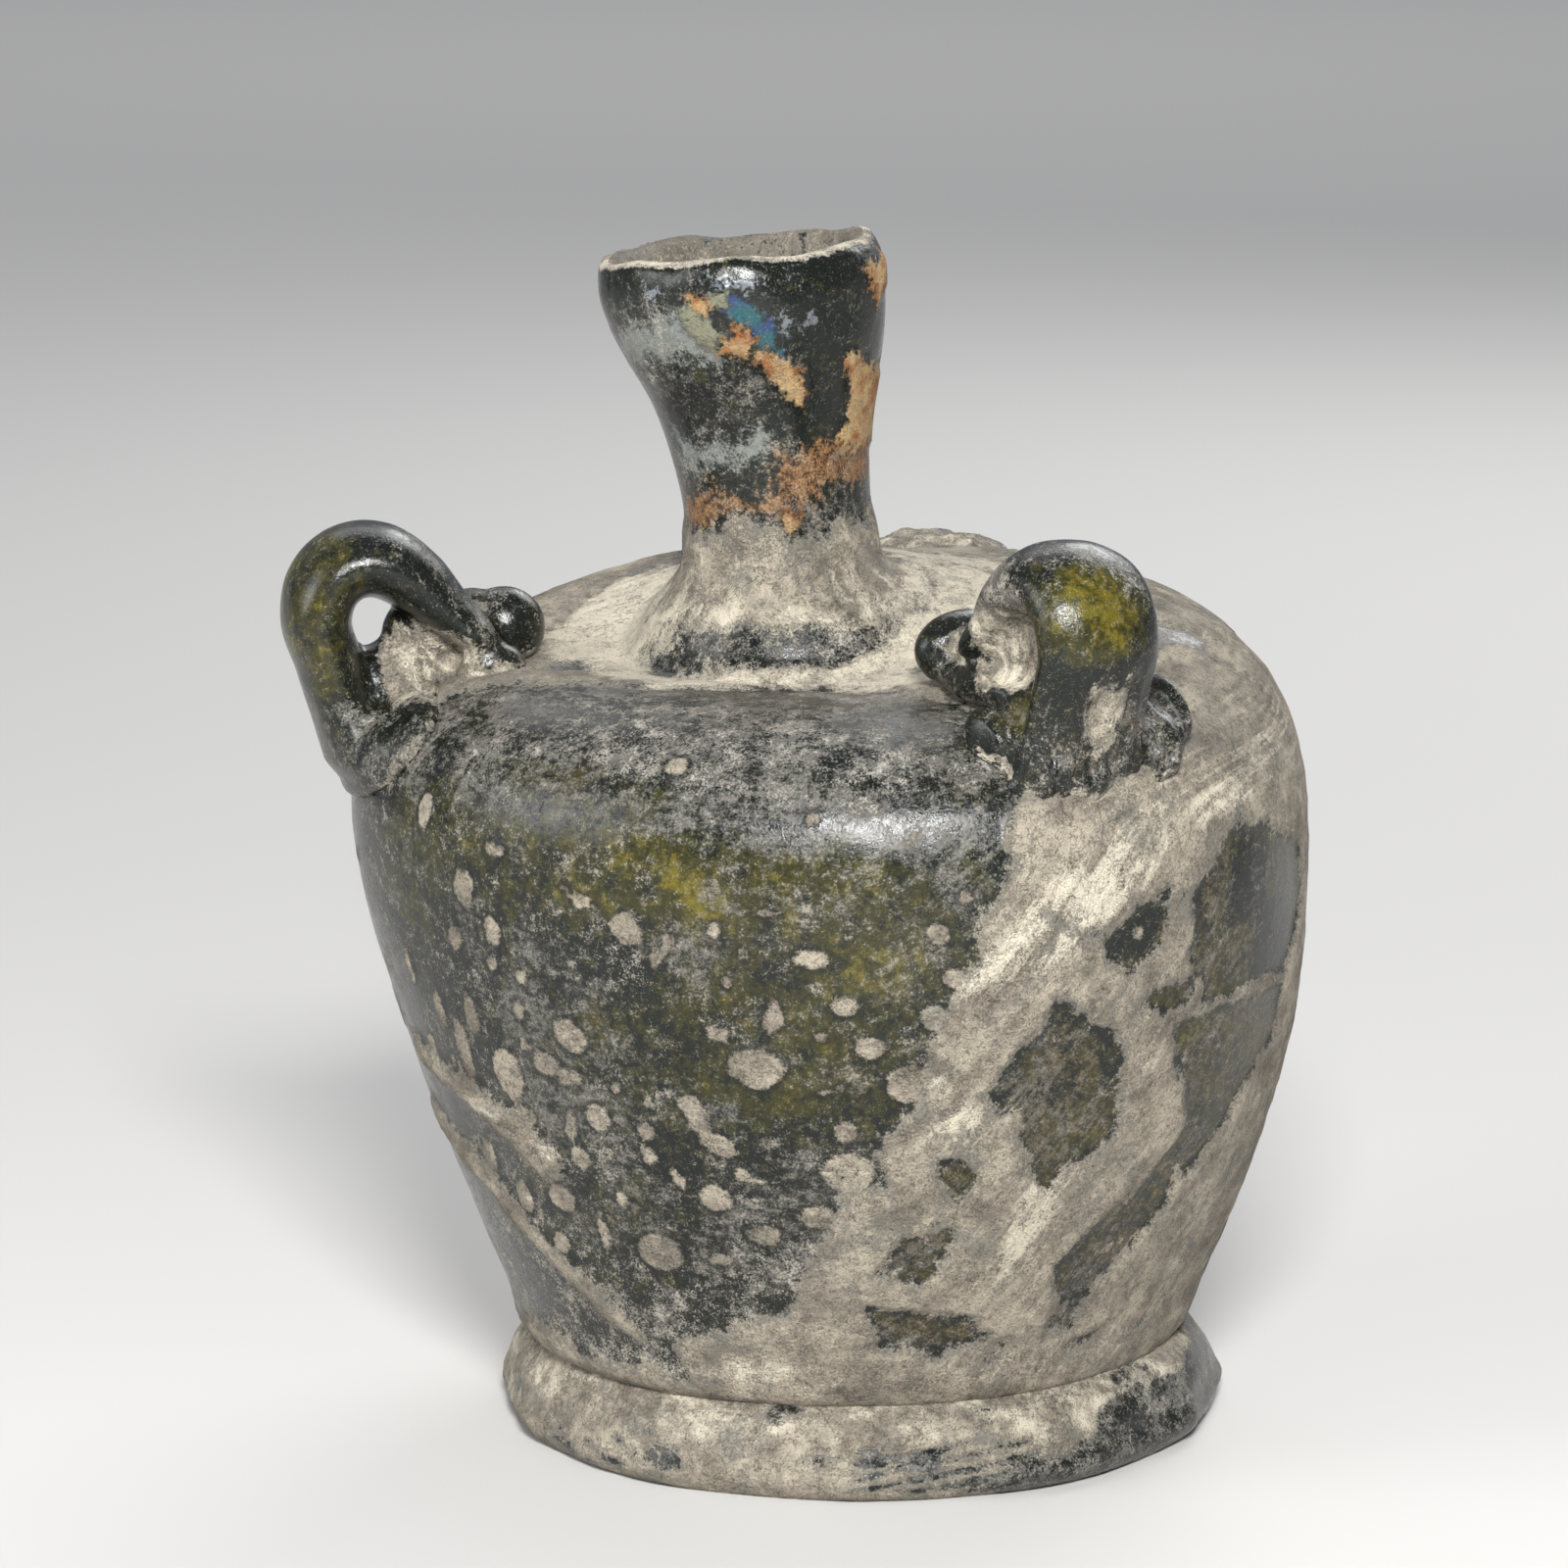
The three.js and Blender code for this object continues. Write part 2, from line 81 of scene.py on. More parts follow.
# Foot ring
FOOT_R, FOOT_EDGE_Z, FOOT_WAIST_R, FOOT_WAIST_Z = 27.4, 1.3, 25, 6.3
TREAD_OUT_R, TREAD_IN_R, FOOT_INNER_R = 25.9, 20.6, 18.9
FOOT_LUMP = 0.28

# Handles, as reach from an upright line at HANDLE_AXIS_X, sideways place and height
HANDLE_AXIS_X = -4
STRAP_WIDE, STRAP_THICK, TAIL_THICK, ROOT_WIDE = 9.4, 5.6, 2.3, 14
ROOT_REACH, ROOT_Z = 32.2, 47.4
HANDLE_REACH, HANDLE_REACH_Z = 36.1, 60.4
CREST_REACH, CREST_Z = 31.9, 64.7
LEFT_TAIL, RIGHT_TAIL, RIGHT_LIFT = (21.9, 57.2), (21.6, 58.8), 1.8
STUB_REACH, STUB_TOP_Z, STUB_ROOT_Z = 27, 63.4, 52.5

# Fineness of the meshes
AROUND = 400
ROW = 0.56
VOXEL = 0.27
SOFTENING = 3

# How far the glass lies inside the CAD skin, how far streaks climb, and the bump's height
SKIN_DEPTH = 0.12
STREAK_CLIMB = 36
RELIEF = 0.13


def smooth(low, high, value):
    t = np.clip((value - low) / (high - low), 0, 1)
    return t * t * (3 - 2 * t)


def mix(a, b, t):
    return a + (b - a) * t


def lattice(ix, iy, iz, seed):
    """A repeatable number from 0 to 1 for each corner of a cubic lattice."""
    mask = 0xFFFFFFFF
    n = (ix * 374761393 + iy * 668265263 + iz * 1440670441 + seed * 1274126177) & mask
    n = ((n ^ (n >> 13)) * 1103515245) & mask
    n = ((n ^ (n >> 16)) * 747796405) & mask
    return ((n >> 8) & 0xFFFF) / 65535


def noise(points, size, seed):
    """Smooth solid noise from -1 to 1 with lumps of about `size` millimetres."""
    cell = points / size + seed * 7.31
    base = np.floor(cell).astype(np.int64)
    part = cell - base
    part = part * part * (3 - 2 * part)
    total = 0
    for dx in (0, 1):
        for dy in (0, 1):
            for dz in (0, 1):
                weight = 1
                for axis, step in enumerate((dx, dy, dz)):
                    weight = weight * (part[:, axis] if step else 1 - part[:, axis])
                corner = lattice(base[:, 0] + dx, base[:, 1] + dy, base[:, 2] + dz, seed)
                total = total + weight * corner
    return total * 2 - 1


def layered(points, size, seed, layers=3):
    """Noise with finer and weaker layers added to it."""
    total = 0
    for k in range(layers):
        total = total + noise(points, size / 2 ** k, seed + k) / 2 ** k
    return total / (2 - 2 ** (1 - layers))


# Body shape

def lean_at(r, z):
    belly = mix(FOOT_LEAN, BELLY_LEAN, smooth(LEAN_START_Z, BELLY_Z + 3, z))
    over = smooth(BELLY_R, GROOVE_R, r) * smooth(BELLY_Z, SHOULDER_Z, z)
    rise = np.maximum(0, (z - COLLAR_TOP_Z) / (RIM_TOP_Z - COLLAR_TOP_Z))
    upper = mix(belly, NECK_LEAN, over) + (MOUTH_LEAN - NECK_LEAN) * rise ** 1.2
    return np.where(z <= BELLY_Z, belly, upper)


def body_point(r, z, a, heave):
    """A profile point turned to the direction a, with the unevenness of hand work."""
    cornered = smooth(12, 48, z) * smooth(NECK_R, BELLY_R * 0.8, r)
    corner = np.cos(3 * (a - math.radians(LEFT_TURN)))
    waver = 0.006 * np.sin(2 * a + 0.05 * z) + 0.004 * np.sin(5 * a + 0.11 * z)
    rr = r * (1 + TRIANGLE_SHARE * cornered * corner + waver)
    x = rr * np.cos(a)
    mouth = smooth(FUNNEL_Z - 3, RIM_TOP_Z - 2, z)
    wave = RIM_WAVE * (np.sin(3 * a + 1) + 0.6 * np.sin(7 * a))
    back = smooth(0.1, 0.95, 0.5 + 0.5 * np.cos(a - math.radians(HEAVE_TURN)))
    lift = heave * back + mouth * (RIM_TILT * x + wave)
    return np.stack([lean_at(r, z) + x, rr * np.sin(a), z + lift], axis=-1)


def side_points(inset=0, steps=9):
    for i in range(steps + 1):
        u = i / steps
        swell = 1 - (1 - u) ** SIDE_POWER
        yield mix(JOIN_R, BELLY_R, swell) - inset, mix(JOIN_Z, BELLY_Z, u), 0


def shoulder_points(inset, top, steps=7):
    for i in range(1, steps + 1):
        a = i / steps * math.pi / 2
        out = abs(math.cos(a)) ** (2 / SHOULDER_POWER) if i < steps else 0
        up = math.sin(a) ** (2 / SHOULDER_POWER)
        yield mix(SHOULDER_R, BELLY_R - inset, out), mix(BELLY_Z, top, up), HEAVE * up ** 1.5


def collar_points():
    for r, z in (
        (GROOVE_R + 3, mix(GROOVE_Z, SHOULDER_Z, 0.7)),
        (GROOVE_R + 1, GROOVE_Z + 0.25),
        (GROOVE_R, GROOVE_Z),
        (COLLAR_R, GROOVE_Z + 0.9),
        (COLLAR_R - 1, GROOVE_Z + 2.8),
        (COLLAR_TOP_R, COLLAR_TOP_Z),
        (NECK_R + 0.25, NECK_LOW_Z - 0.7),
    ):
        back = mix(BACK_TOP_Z + 0.9, SHOULDER_Z + HEAVE, float(smooth(NECK_R, SHOULDER_R, r)))
        yield r, z, max(0, back - z)


def rim_points(turns):
    for turn in turns:
        a = turn * math.pi
        yield MOUTH_R - RIM_ROUND * (1 - math.cos(a)), RIM_TOP_Z - RIM_ROUND * (1 - math.sin(a)), 0


def outer_profile():
    """Key points [radius, height, heave] from under the base to the crown of the rim."""
    base = [(0.01, BASE_Z + PUSH_UP, 0)]
    for share in (0.3, 0.55, 0.76):
        base.append((JOIN_R * share, BASE_Z + PUSH_UP * (1 - share * share) ** 1.4, 0))
    base.append((JOIN_R - 1.6, BASE_Z + 0.1, 0))
    neck = [
        (NECK_R, NECK_LOW_Z + 1, 0),
        (NECK_R, NECK_HIGH_Z, 0),
        (NECK_R + 0.45, mix(NECK_HIGH_Z, FUNNEL_Z, 0.5), 0),
        (FUNNEL_R, FUNNEL_Z, 0),
        (mix(FUNNEL_R, MOUTH_R, 0.5), mix(FUNNEL_Z, RIM_LOW_Z, 0.48), 0),
        (MOUTH_R - 0.25, RIM_LOW_Z, 0),
    ]
    upper = [*shoulder_points(0, SHOULDER_Z), *collar_points(), *neck]
    return [*base, *side_points(), *upper, *rim_points((0, 0.18, 0.36, 0.5))]


def inner_profile():
    """Key points from the inside of the rim down to the middle of the floor."""
    middle = MOUTH_R - RIM_ROUND
    roof = SHOULDER_Z - SHOULDER_WALL
    floor = BASE_Z + BASE_WALL
    bore = [
        (mix(BORE_R, middle, 0.6), RIM_LOW_Z, 0),
        (mix(BORE_R, middle, 0.3), mix(BORE_HIGH_Z, RIM_LOW_Z, 0.55), 0),
        (BORE_R + 0.1, BORE_HIGH_Z, 0),
        (BORE_R, BORE_LOW_Z + 2, 0),
        (BORE_R + 0.6, BORE_LOW_Z, 0),
        (BORE_R + 2.4, roof + 1.7, HEAVE * 0.5),
        (GROOVE_R - 1, GROOVE_Z - SHOULDER_WALL, HEAVE * 0.9),
        (SHOULDER_R - 2, roof - 0.3, HEAVE),
    ]
    roof_points = list(shoulder_points(SIDE_WALL, roof))[-2::-2]
    wall = list(side_points(SIDE_WALL))[::-2]
    base = [
        (JOIN_R * 0.78, floor + 0.1, 0),
        (JOIN_R * 0.45, floor + PUSH_UP * 0.6, 0),
        (0.01, floor + PUSH_UP, 0),
    ]
    return [*rim_points((0.68, 0.9)), *bore, *roof_points, *wall, *base]


def curved(keys, spacings):
    """A smooth row of points through key points, with its own spacing in each gap."""
    keys = np.array(keys, float)
    gaps = np.hypot(np.diff(keys[:, 0]), np.diff(keys[:, 1]))
    path = np.concatenate([[0], np.cumsum(gaps)])
    slope = np.gradient(keys, path, axis=0)
    rows = []
    for i, gap in enumerate(gaps):
        count = max(1, round(gap / spacings[i]))
        t = (np.arange(count) / count)[:, None]
        start = (2 * t ** 3 - 3 * t ** 2 + 1) * keys[i] + (t ** 3 - 2 * t ** 2 + t) * gap * slope[i]
        end = (3 * t ** 2 - 2 * t ** 3) * keys[i + 1] + (t ** 3 - t ** 2) * gap * slope[i + 1]
        rows.append(start + end)
    rows.append(keys[-1:])
    return np.concatenate(rows)


def path_along(rows):
    return np.concatenate([[0], np.cumsum(np.hypot(np.diff(rows[:, 0]), np.diff(rows[:, 1])))])


# Meshes

def foot_middle():
    """Where the middle of the foot ring lies in the row frame, in millimetres."""
    a = np.arange(40) / 40 * math.tau
    x, y, _ = foot_point(FOOT_R, FOOT_EDGE_Z, a).T
    low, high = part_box("foot_ring")
    centre = (np.array(low) + np.array(high)) / 2 / MM
    return np.array([centre[0] - (x.max() + x.min()) / 2, centre[1] - (y.max() + y.min()) / 2, 0])


def foot_point(r, z, a):
    edge = smooth(TREAD_OUT_R - 1, FOOT_R, r)
    lump = FOOT_LUMP * (np.sin(5 * a + 0.6) + 0.7 * np.sin(11 * a) + 0.5 * np.sin(3 * a + 2))
    rr = r + lump * edge
    return np.stack([rr * np.cos(a), rr * np.sin(a), z + 0 * a], axis=-1)


def grid_faces(rows, columns, closed_rows=False):
    """Four-sided faces of a grid whose columns close round."""
    i = np.arange(rows if closed_rows else rows - 1)[:, None]
    j = np.arange(columns)[None, :]
    k = (i + 1) % rows
    n = (j + 1) % columns
    quads = np.stack([i * columns + j, i * columns + n, k * columns + n, k * columns + j], axis=-1)
    return quads.reshape(-1, 4)


def capped_faces(rows, columns):
    """The faces of such a grid, with one face over each end."""
    last = (rows - 1) * columns
    ends = [list(range(columns))[::-1], [last + j for j in range(columns)]]
    return grid_faces(rows, columns).tolist() + ends


def grid_normals(points, closed_rows=False):
    """Unit normals of a grid of points [row, column, xyz] whose columns close round."""
    around = np.roll(points, -1, axis=1) - np.roll(points, 1, axis=1)
    if closed_rows:
        along = np.roll(points, -1, axis=0) - np.roll(points, 1, axis=0)
    else:
        along = np.gradient(points, axis=0)
    normal = np.cross(around, along)
    return normal / np.maximum(np.linalg.norm(normal, axis=-1, keepdims=True), 1e-9)


def mesh_object(name, points, faces):
    """A smooth-shaded object in the row frame from points in millimetres."""
    mesh = bpy.data.meshes.new(name)
    mesh.from_pydata(((points + ORIGIN) * MM).tolist(), [], faces)
    mesh.update()
    mesh.shade_smooth()
    made = bpy.data.objects.new(name, mesh)
    bpy.context.scene.collection.objects.link(made)
    return made


def points_of(mesh):
    flat = np.zeros(len(mesh.vertices) * 3, np.float32)
    mesh.vertices.foreach_get("co", flat)
    return flat.reshape(-1, 3).astype(float) / MM - ORIGIN


def normals_of(mesh):
    flat = np.zeros(len(mesh.vertices) * 3, np.float32)
    mesh.vertex_normals.foreach_get("vector", flat)
    return flat.reshape(-1, 3).astype(float)


def move_points(mesh, points):
    mesh.vertices.foreach_set("co", ((points + ORIGIN) * MM).astype(np.float32).ravel())
    mesh.update()


def paint(thing, fields):
    """Stores each field of numbers on the mesh, for its material to read by name."""
    for name, values in fields.items():
        attribute = thing.data.attributes.new(name, "FLOAT", "POINT")
        attribute.data.foreach_set("value", np.asarray(values, np.float32))


def paint_brush(thing, turn, path, radius=6):
    """Stores coordinates in which noise becomes streaks that run long round the bottle."""
    a = np.radians(turn)
    brush = np.stack([radius * np.cos(a), radius * np.sin(a), path], axis=-1)
    attribute = thing.data.attributes.new("brush", "FLOAT_VECTOR", "POINT")
    attribute.data.foreach_set("vector", brush.astype(np.float32).ravel())


def fused(name, parts):
    """Joins closed shapes, given as (points, faces), into one skin with softened creases."""
    points = np.concatenate([p for p, _ in parts])
    faces = []
    start = 0
    for p, f in parts:
        faces += [[start + i for i in face] for face in f]
        start += len(p)
    rough = mesh_object(name + "_parts", points, faces)
    remesh = rough.modifiers.new("remesh", "REMESH")
    remesh.mode = "VOXEL"
    remesh.voxel_size = VOXEL * MM
    soften = rough.modifiers.new("soften", "SMOOTH")
    soften.factor = 0.5
    soften.iterations = SOFTENING
    remade = rough.evaluated_get(bpy.context.evaluated_depsgraph_get())
    whole = bpy.data.meshes.new_from_object(remade)
    bpy.data.objects.remove(rough)
    whole.name = name
    whole.shade_smooth()
    made = bpy.data.objects.new(name, whole)
    bpy.context.scene.collection.objects.link(made)
    return made


ORIGIN = foot_middle()
ROOT = "root"


# Materials

def colour(red, green, blue):
    """A colour given as it looks on a screen, from 0 to 255, as the linear one that shaders use."""
    values = [c / 255 for c in (red, green, blue)]
    return (*(c / 12.92 if c < 0.04045 else ((c + 0.055) / 1.055) ** 2.4 for c in values), 1)


class Looks:
    """Short calls for building one material's node tree. Sizes are in millimetres."""

    def __init__(self, name):
        self.material = bpy.data.materials.new(name)
        self.material.use_nodes = True
        self.tree = self.material.node_tree
        self.shader = self.tree.nodes["Principled BSDF"]
        where = self.tree.nodes.new("ShaderNodeTexCoord").outputs["Object"]
        scaled = self.node("ShaderNodeVectorMath", operation="SCALE")
        self.tree.links.new(where, scaled.inputs[0])
        scaled.inputs["Scale"].default_value = 1 / MM
        self.place = scaled.outputs[0]
        self.brush = self.attribute("brush", "Vector")

    def node(self, kind, **settings):
        made = self.tree.nodes.new(kind)
        for key, value in settings.items():
            setattr(made, key, value)
        return made

    def feed(self, socket, value):
        if isinstance(value, bpy.types.NodeSocket):
            self.tree.links.new(value, socket)
        else:
            socket.default_value = value

    def attribute(self, name, output="Fac"):
        return self.node("ShaderNodeAttribute", attribute_name=name).outputs[output]

    def noise(self, size, detail=3, rough=0.55, vector=None, stretch=None):
        """Noise around zero with lumps of the given size."""
        made = self.node("ShaderNodeTexNoise")
        made.inputs["Scale"].default_value = 1 / size
        made.inputs["Detail"].default_value = detail
        made.inputs["Roughness"].default_value = rough
        vector = self.place if vector is None else vector
        if stretch:
            spread = self.node("ShaderNodeVectorMath", operation="MULTIPLY")
            self.feed(spread.inputs[0], vector)
            spread.inputs[1].default_value = stretch
            vector = spread.outputs[0]
        self.feed(made.inputs["Vector"], vector)
        return self.math("MULTIPLY_ADD", made.outputs["Fac"], 4, -2)

    def ridges(self, size, detail=3, rough=0.55, vector=None, wide=0.12):
        """Thin crests where noise passes through zero: 1 along them and 0 between."""
        return self.step(self.math("ABSOLUTE", self.noise(size, detail, rough, vector)), wide, 0)

    def math(self, operation, a, b=0.0, c=0.0):
        made = self.node("ShaderNodeMath", operation=operation)
        for socket, value in zip(made.inputs, (a, b, c)):
            self.feed(socket, value)
        return made.outputs[0]

    def add(self, *parts):
        """The sum of values, each alone or as (value, weight)."""
        total = None
        for part in parts:
            value = self.times(*part) if isinstance(part, tuple) else part
            total = value if total is None else self.math("ADD", total, value)
        return total

    def times(self, a, b):
        return self.math("MULTIPLY", a, b)

    def step(self, value, low, high):
        """A smooth step from 0 at low to 1 at high; high may be the lower."""
        made = self.node("ShaderNodeMapRange", interpolation_type="SMOOTHSTEP")
        turned = high < low
        self.feed(made.inputs["Value"], value)
        made.inputs["From Min"].default_value = min(low, high)
        made.inputs["From Max"].default_value = max(low, high)
        made.inputs["To Min"].default_value = 1 if turned else 0
        made.inputs["To Max"].default_value = 0 if turned else 1
        return made.outputs["Result"]

    def cover(self, base, share, colour, strength=1):
        """Lays a colour over a base by a share, which a strength below 1 weakens."""
        return self.blend(share if strength == 1 else self.times(share, strength), base, colour)

    def blend(self, share, a, b):
        """Colour a where share is 0 and b where it is 1."""
        made = self.node("ShaderNodeMix", data_type="RGBA")
        self.feed(made.inputs["Factor"], share)
        self.feed(made.inputs[6], a)
        self.feed(made.inputs[7], b)
        return made.outputs[2]

    def between(self, share, a, b):
        """The number a where share is 0 and b where it is 1."""
        made = self.node("ShaderNodeMix", data_type="FLOAT")
        self.feed(made.inputs[0], share)
        self.feed(made.inputs[2], a)
        self.feed(made.inputs[3], b)
        return made.outputs[0]

    def bump(self, height, depth, normal=None):
        """Relief whose height of 1 stands that many millimetres high."""
        made = self.node("ShaderNodeBump")
        made.inputs["Distance"].default_value = depth * MM
        self.feed(made.inputs["Height"], height)
        if normal is not None:
            self.feed(made.inputs["Normal"], normal)
        return made.outputs["Normal"]


LOOK = {
    "dark": colour(17, 21, 17),
    # The next three are painted light coming through the glass, from dim to bright.
    "olive": colour(45, 44, 17),
    "painted_glow": colour(94, 85, 21),
    "painted_amber_glow": colour(132, 104, 22),
    "brown": colour(86, 74, 52),
    "film": (colour(48, 48, 44), colour(124, 121, 113)),
    "dust": (colour(98, 95, 89), colour(182, 176, 163)),
    "thin_clay": colour(136, 132, 121),
    "clay_deep": colour(108, 100, 88),
    "clay": (colour(158, 149, 133), colour(192, 181, 161)),
    "cream": colour(232, 222, 200),
    "clay_grey": colour(128, 128, 121),
    "pit": colour(66, 58, 50),
    "rust": (colour(84, 50, 30), colour(172, 126, 72)),
    "tan": (colour(198, 170, 122), colour(150, 88, 40)),
    "iris": (colour(34, 84, 92), colour(44, 60, 108)),
    # Silvery flecks on the neck: partly silver weathering, partly painted highlights
    "silver_and_highlight": colour(168, 176, 184),
    "flake": colour(138, 137, 114),
    "blue_grey": colour(128, 132, 126),
    "stain": colour(15, 16, 15),
}


def shared_tones(looks):
    """The noises that every layer shares, so that grain runs on from one layer to the next."""
    return SimpleNamespace(
        fine=looks.noise(0.6, 6, 0.75),
        grain=looks.noise(0.16, 3, 0.7),
        patchy=looks.noise(2.4, 7, 0.62),
        broad=looks.noise(7, 4, 0.6),
        streaks=looks.noise(0.7, 6, 0.7, looks.brush),
        sweeps=looks.noise(2.4, 6, 0.62, looks.brush, (2.2, 2.2, 1)),
        ridges=looks.ridges(2.2, 4, 0.6),
        cracks=looks.ridges(1.9, 5, 0.6, wide=0.05),
    )


def glass_layer(looks, tones):
    """Dark glass with an olive glow painted in where light comes through, under a grey film with swept
    streaks.
    """
    mottled = looks.noise(1.5, 6, 0.75)
    # Painted light: the glass turns from dark to olive, glow and amber where more light would come through.
    olive = looks.add(looks.attribute("olive"), (mottled, 0.8), (tones.fine, 0.35))
    base = looks.blend(looks.step(olive, 0.1, 0.6), LOOK["dark"], LOOK["olive"])
    base = looks.cover(base, looks.step(olive, 0.65, 1.4), LOOK["painted_glow"])
    base = looks.cover(base, looks.step(olive, 1.35, 2.0), LOOK["painted_amber_glow"], 0.8)
    film = looks.add(looks.attribute("film"), (tones.streaks, 0.3), (tones.patchy, 0.55),
                     (tones.fine, 0.35), (tones.grain, 0.3))
    grey = looks.times(looks.step(film, 0.15, 1.1), 0.85)
    tone = looks.add((tones.streaks, 0.5), (tones.grain, 0.55), (tones.fine, 0.35))
    grey_colour = looks.blend(looks.step(tone, -0.8, 0.9), *LOOK["film"])
    brown = looks.add(looks.attribute("brown"), (mottled, 0.6), (tones.broad, 0.7), (tones.grain, 0.3))
    grey_colour = looks.cover(grey_colour, looks.step(brown, 0.1, 1.2), LOOK["brown"], 0.85)
    return looks.blend(grey, base, grey_colour), grey


def dust_layer(looks, tones, base):
    """Fine salt-and-pepper dust that thickens to a veil in patches."""
    level = looks.add((tones.patchy, 0.8), (tones.grain, 0.75), (tones.fine, 0.35),
                      (looks.attribute("dust"), 1.7))
    veil = looks.step(level, 0.7, 1.8)
    tint = looks.step(looks.add(looks.noise(1.1, 4, 0.7), (tones.grain, 0.6)), -0.5, 0.8)
    return looks.cover(base, veil, looks.blend(tint, *LOOK["dust"]), 0.88), veil


def clay_colour(looks, tones):
    """Dried clay: beige with grey tints, cream sweeps, fine grain, cracks and dark pits."""
    level = looks.add((looks.noise(4, 8, 0.74), 1.1), (tones.streaks, 0.15), (tones.grain, 0.55),
                      (tones.fine, 0.35), (tones.sweeps, 0.55))
    beige, pale_beige = LOOK["clay"]
    base = looks.blend(looks.step(level, -1.1, 0.2), LOOK["clay_deep"], beige)
    base = looks.cover(base, looks.step(level, -0.2, 0.8), pale_beige)
    grey = looks.step(looks.add(looks.noise(3, 6, 0.7), (tones.streaks, 0.35)), 0.15, 0.9)
    base = looks.cover(base, grey, LOOK["clay_grey"], 0.7)
    sweep = looks.add((tones.sweeps, 0.8), (tones.patchy, 0.5), (tones.grain, 0.3), looks.attribute("pale"))
    base = looks.cover(base, looks.step(sweep, 0.3, 1.2), LOOK["cream"], 0.9)
    pits = looks.step(looks.add((tones.grain, 0.7), tones.fine), -0.6, -1.0)
    holes = looks.math("MAXIMUM", looks.times(pits, 0.6), looks.times(tones.cracks, 0.3))
    return looks.cover(base, holes, LOOK["pit"])


def soil_layers(looks, tones, base):
    """Soil over glass: a thin dried film at its edges, the full crust inside, and pits filled with it."""
    clay = clay_colour(looks, tones)
    level = looks.add(looks.attribute("crust"), (tones.patchy, 0.55), (tones.streaks, 0.2),
                      (tones.fine, 0.35), (tones.grain, 0.25))
    thin = looks.step(level, -0.5, 0.1)
    flecks = looks.step(looks.add(looks.noise(1.4, 7, 0.8), (tones.broad, 0.7)), -0.3, -0.75)
    thick = looks.times(looks.step(level, 0, 0.45), looks.between(flecks, 1, 0.3))
    thinned = looks.step(looks.add(tones.patchy, tones.grain), -0.5, 0.6)
    thin_colour = looks.blend(thinned, LOOK["thin_clay"], clay)
    blot_level = looks.attribute("blot")
    rough_level = looks.add(blot_level, (tones.fine, 0.16), (tones.patchy, 0.12), (tones.grain, 0.1))
    blot = looks.step(rough_level, -0.1, 0.14)
    halo = looks.times(looks.step(blot_level, -0.55, -0.1), looks.step(blot_level, 0.15, -0.05))
    base = looks.cover(base, halo, LOOK["dark"], 0.6)
    wear = looks.step(looks.add(tones.broad, (tones.fine, 0.5)), -0.5, 0.3)
    base = looks.cover(base, looks.times(blot, looks.between(wear, 0.7, 0.97)), clay)
    base = looks.cover(base, looks.times(thin, looks.between(flecks, 0.8, 0.45)), thin_colour)
    return looks.cover(base, thick, clay), thin, looks.math("MAXIMUM", thick, blot)


def neck_layers(looks, tones, base):
    """The neck's black stain, grey smears, rust, iridescent film, silvery flecks that are partly painted
    highlights, and flaking crusts.
    """

    def layer(field, low=-0.15, high=0.1, patchy=0.3, fine=0.3):
        ragged = looks.add((tones.patchy, patchy), (tones.fine, fine))
        return looks.step(looks.add(looks.attribute(field), ragged), low, high)

    black, rust = layer("black", -0.5, 0.9, 0.6, 0.5), layer("rust", -0.3, 1.3, 1.1, 1.2)
    iris, silver_and_highlight = layer("iris", -0.2, 0.3), layer("silver_and_highlight", 0.1, 0.6, 0.3, 0.9)
    flake, tan = layer("flake", -0.2, 0.3, 0.6, 0.5), layer("tan", -0.2, 0.3, 0.8, 0.7)
    rust_tone = looks.add(tones.fine, (tones.grain, 0.7))
    rust_colour = looks.blend(looks.step(rust_tone, -0.7, 0.8), *LOOK["rust"])
    tan_tone = looks.add(looks.noise(1.7, 5, 0.65), (tones.grain, 0.6), (tones.fine, 0.4))
    tan_colour = looks.blend(looks.step(tan_tone, -0.6, 0.8), *LOOK["tan"])
    iris_colour = looks.blend(looks.step(looks.noise(2.2, 1), -0.4, 0.4), *LOOK["iris"])
    smear = looks.add(looks.attribute("smear"), (tones.patchy, 0.9), (tones.streaks, 0.9),
                      (tones.grain, 0.8), (tones.fine, 0.7))
    for share, over, strength in (
        (black, LOOK["stain"], 0.85),
        (looks.step(smear, -0.3, 1.3), LOOK["blue_grey"], 0.75),
        (rust, rust_colour, 0.65),
        (iris, iris_colour, 0.8),
        (silver_and_highlight, LOOK["silver_and_highlight"], 0.6),
        (flake, LOOK["flake"], 1),
        (tan, tan_colour, 1),
    ):
        base = looks.cover(base, share, over, strength)
    return base, looks.math("MAXIMUM", rust, black), looks.math("MAXIMUM", tan, flake), silver_and_highlight


def speckled(looks, tones, base):
    """Fine dark and pale grains over every layer."""
    level = looks.add(tones.grain, (tones.fine, 0.7))
    base = looks.cover(base, looks.step(level, 0, -1), LOOK["dark"], 0.4)
    return looks.cover(base, looks.step(level, 0.2, 1.1), LOOK["dust"][1], 0.2)


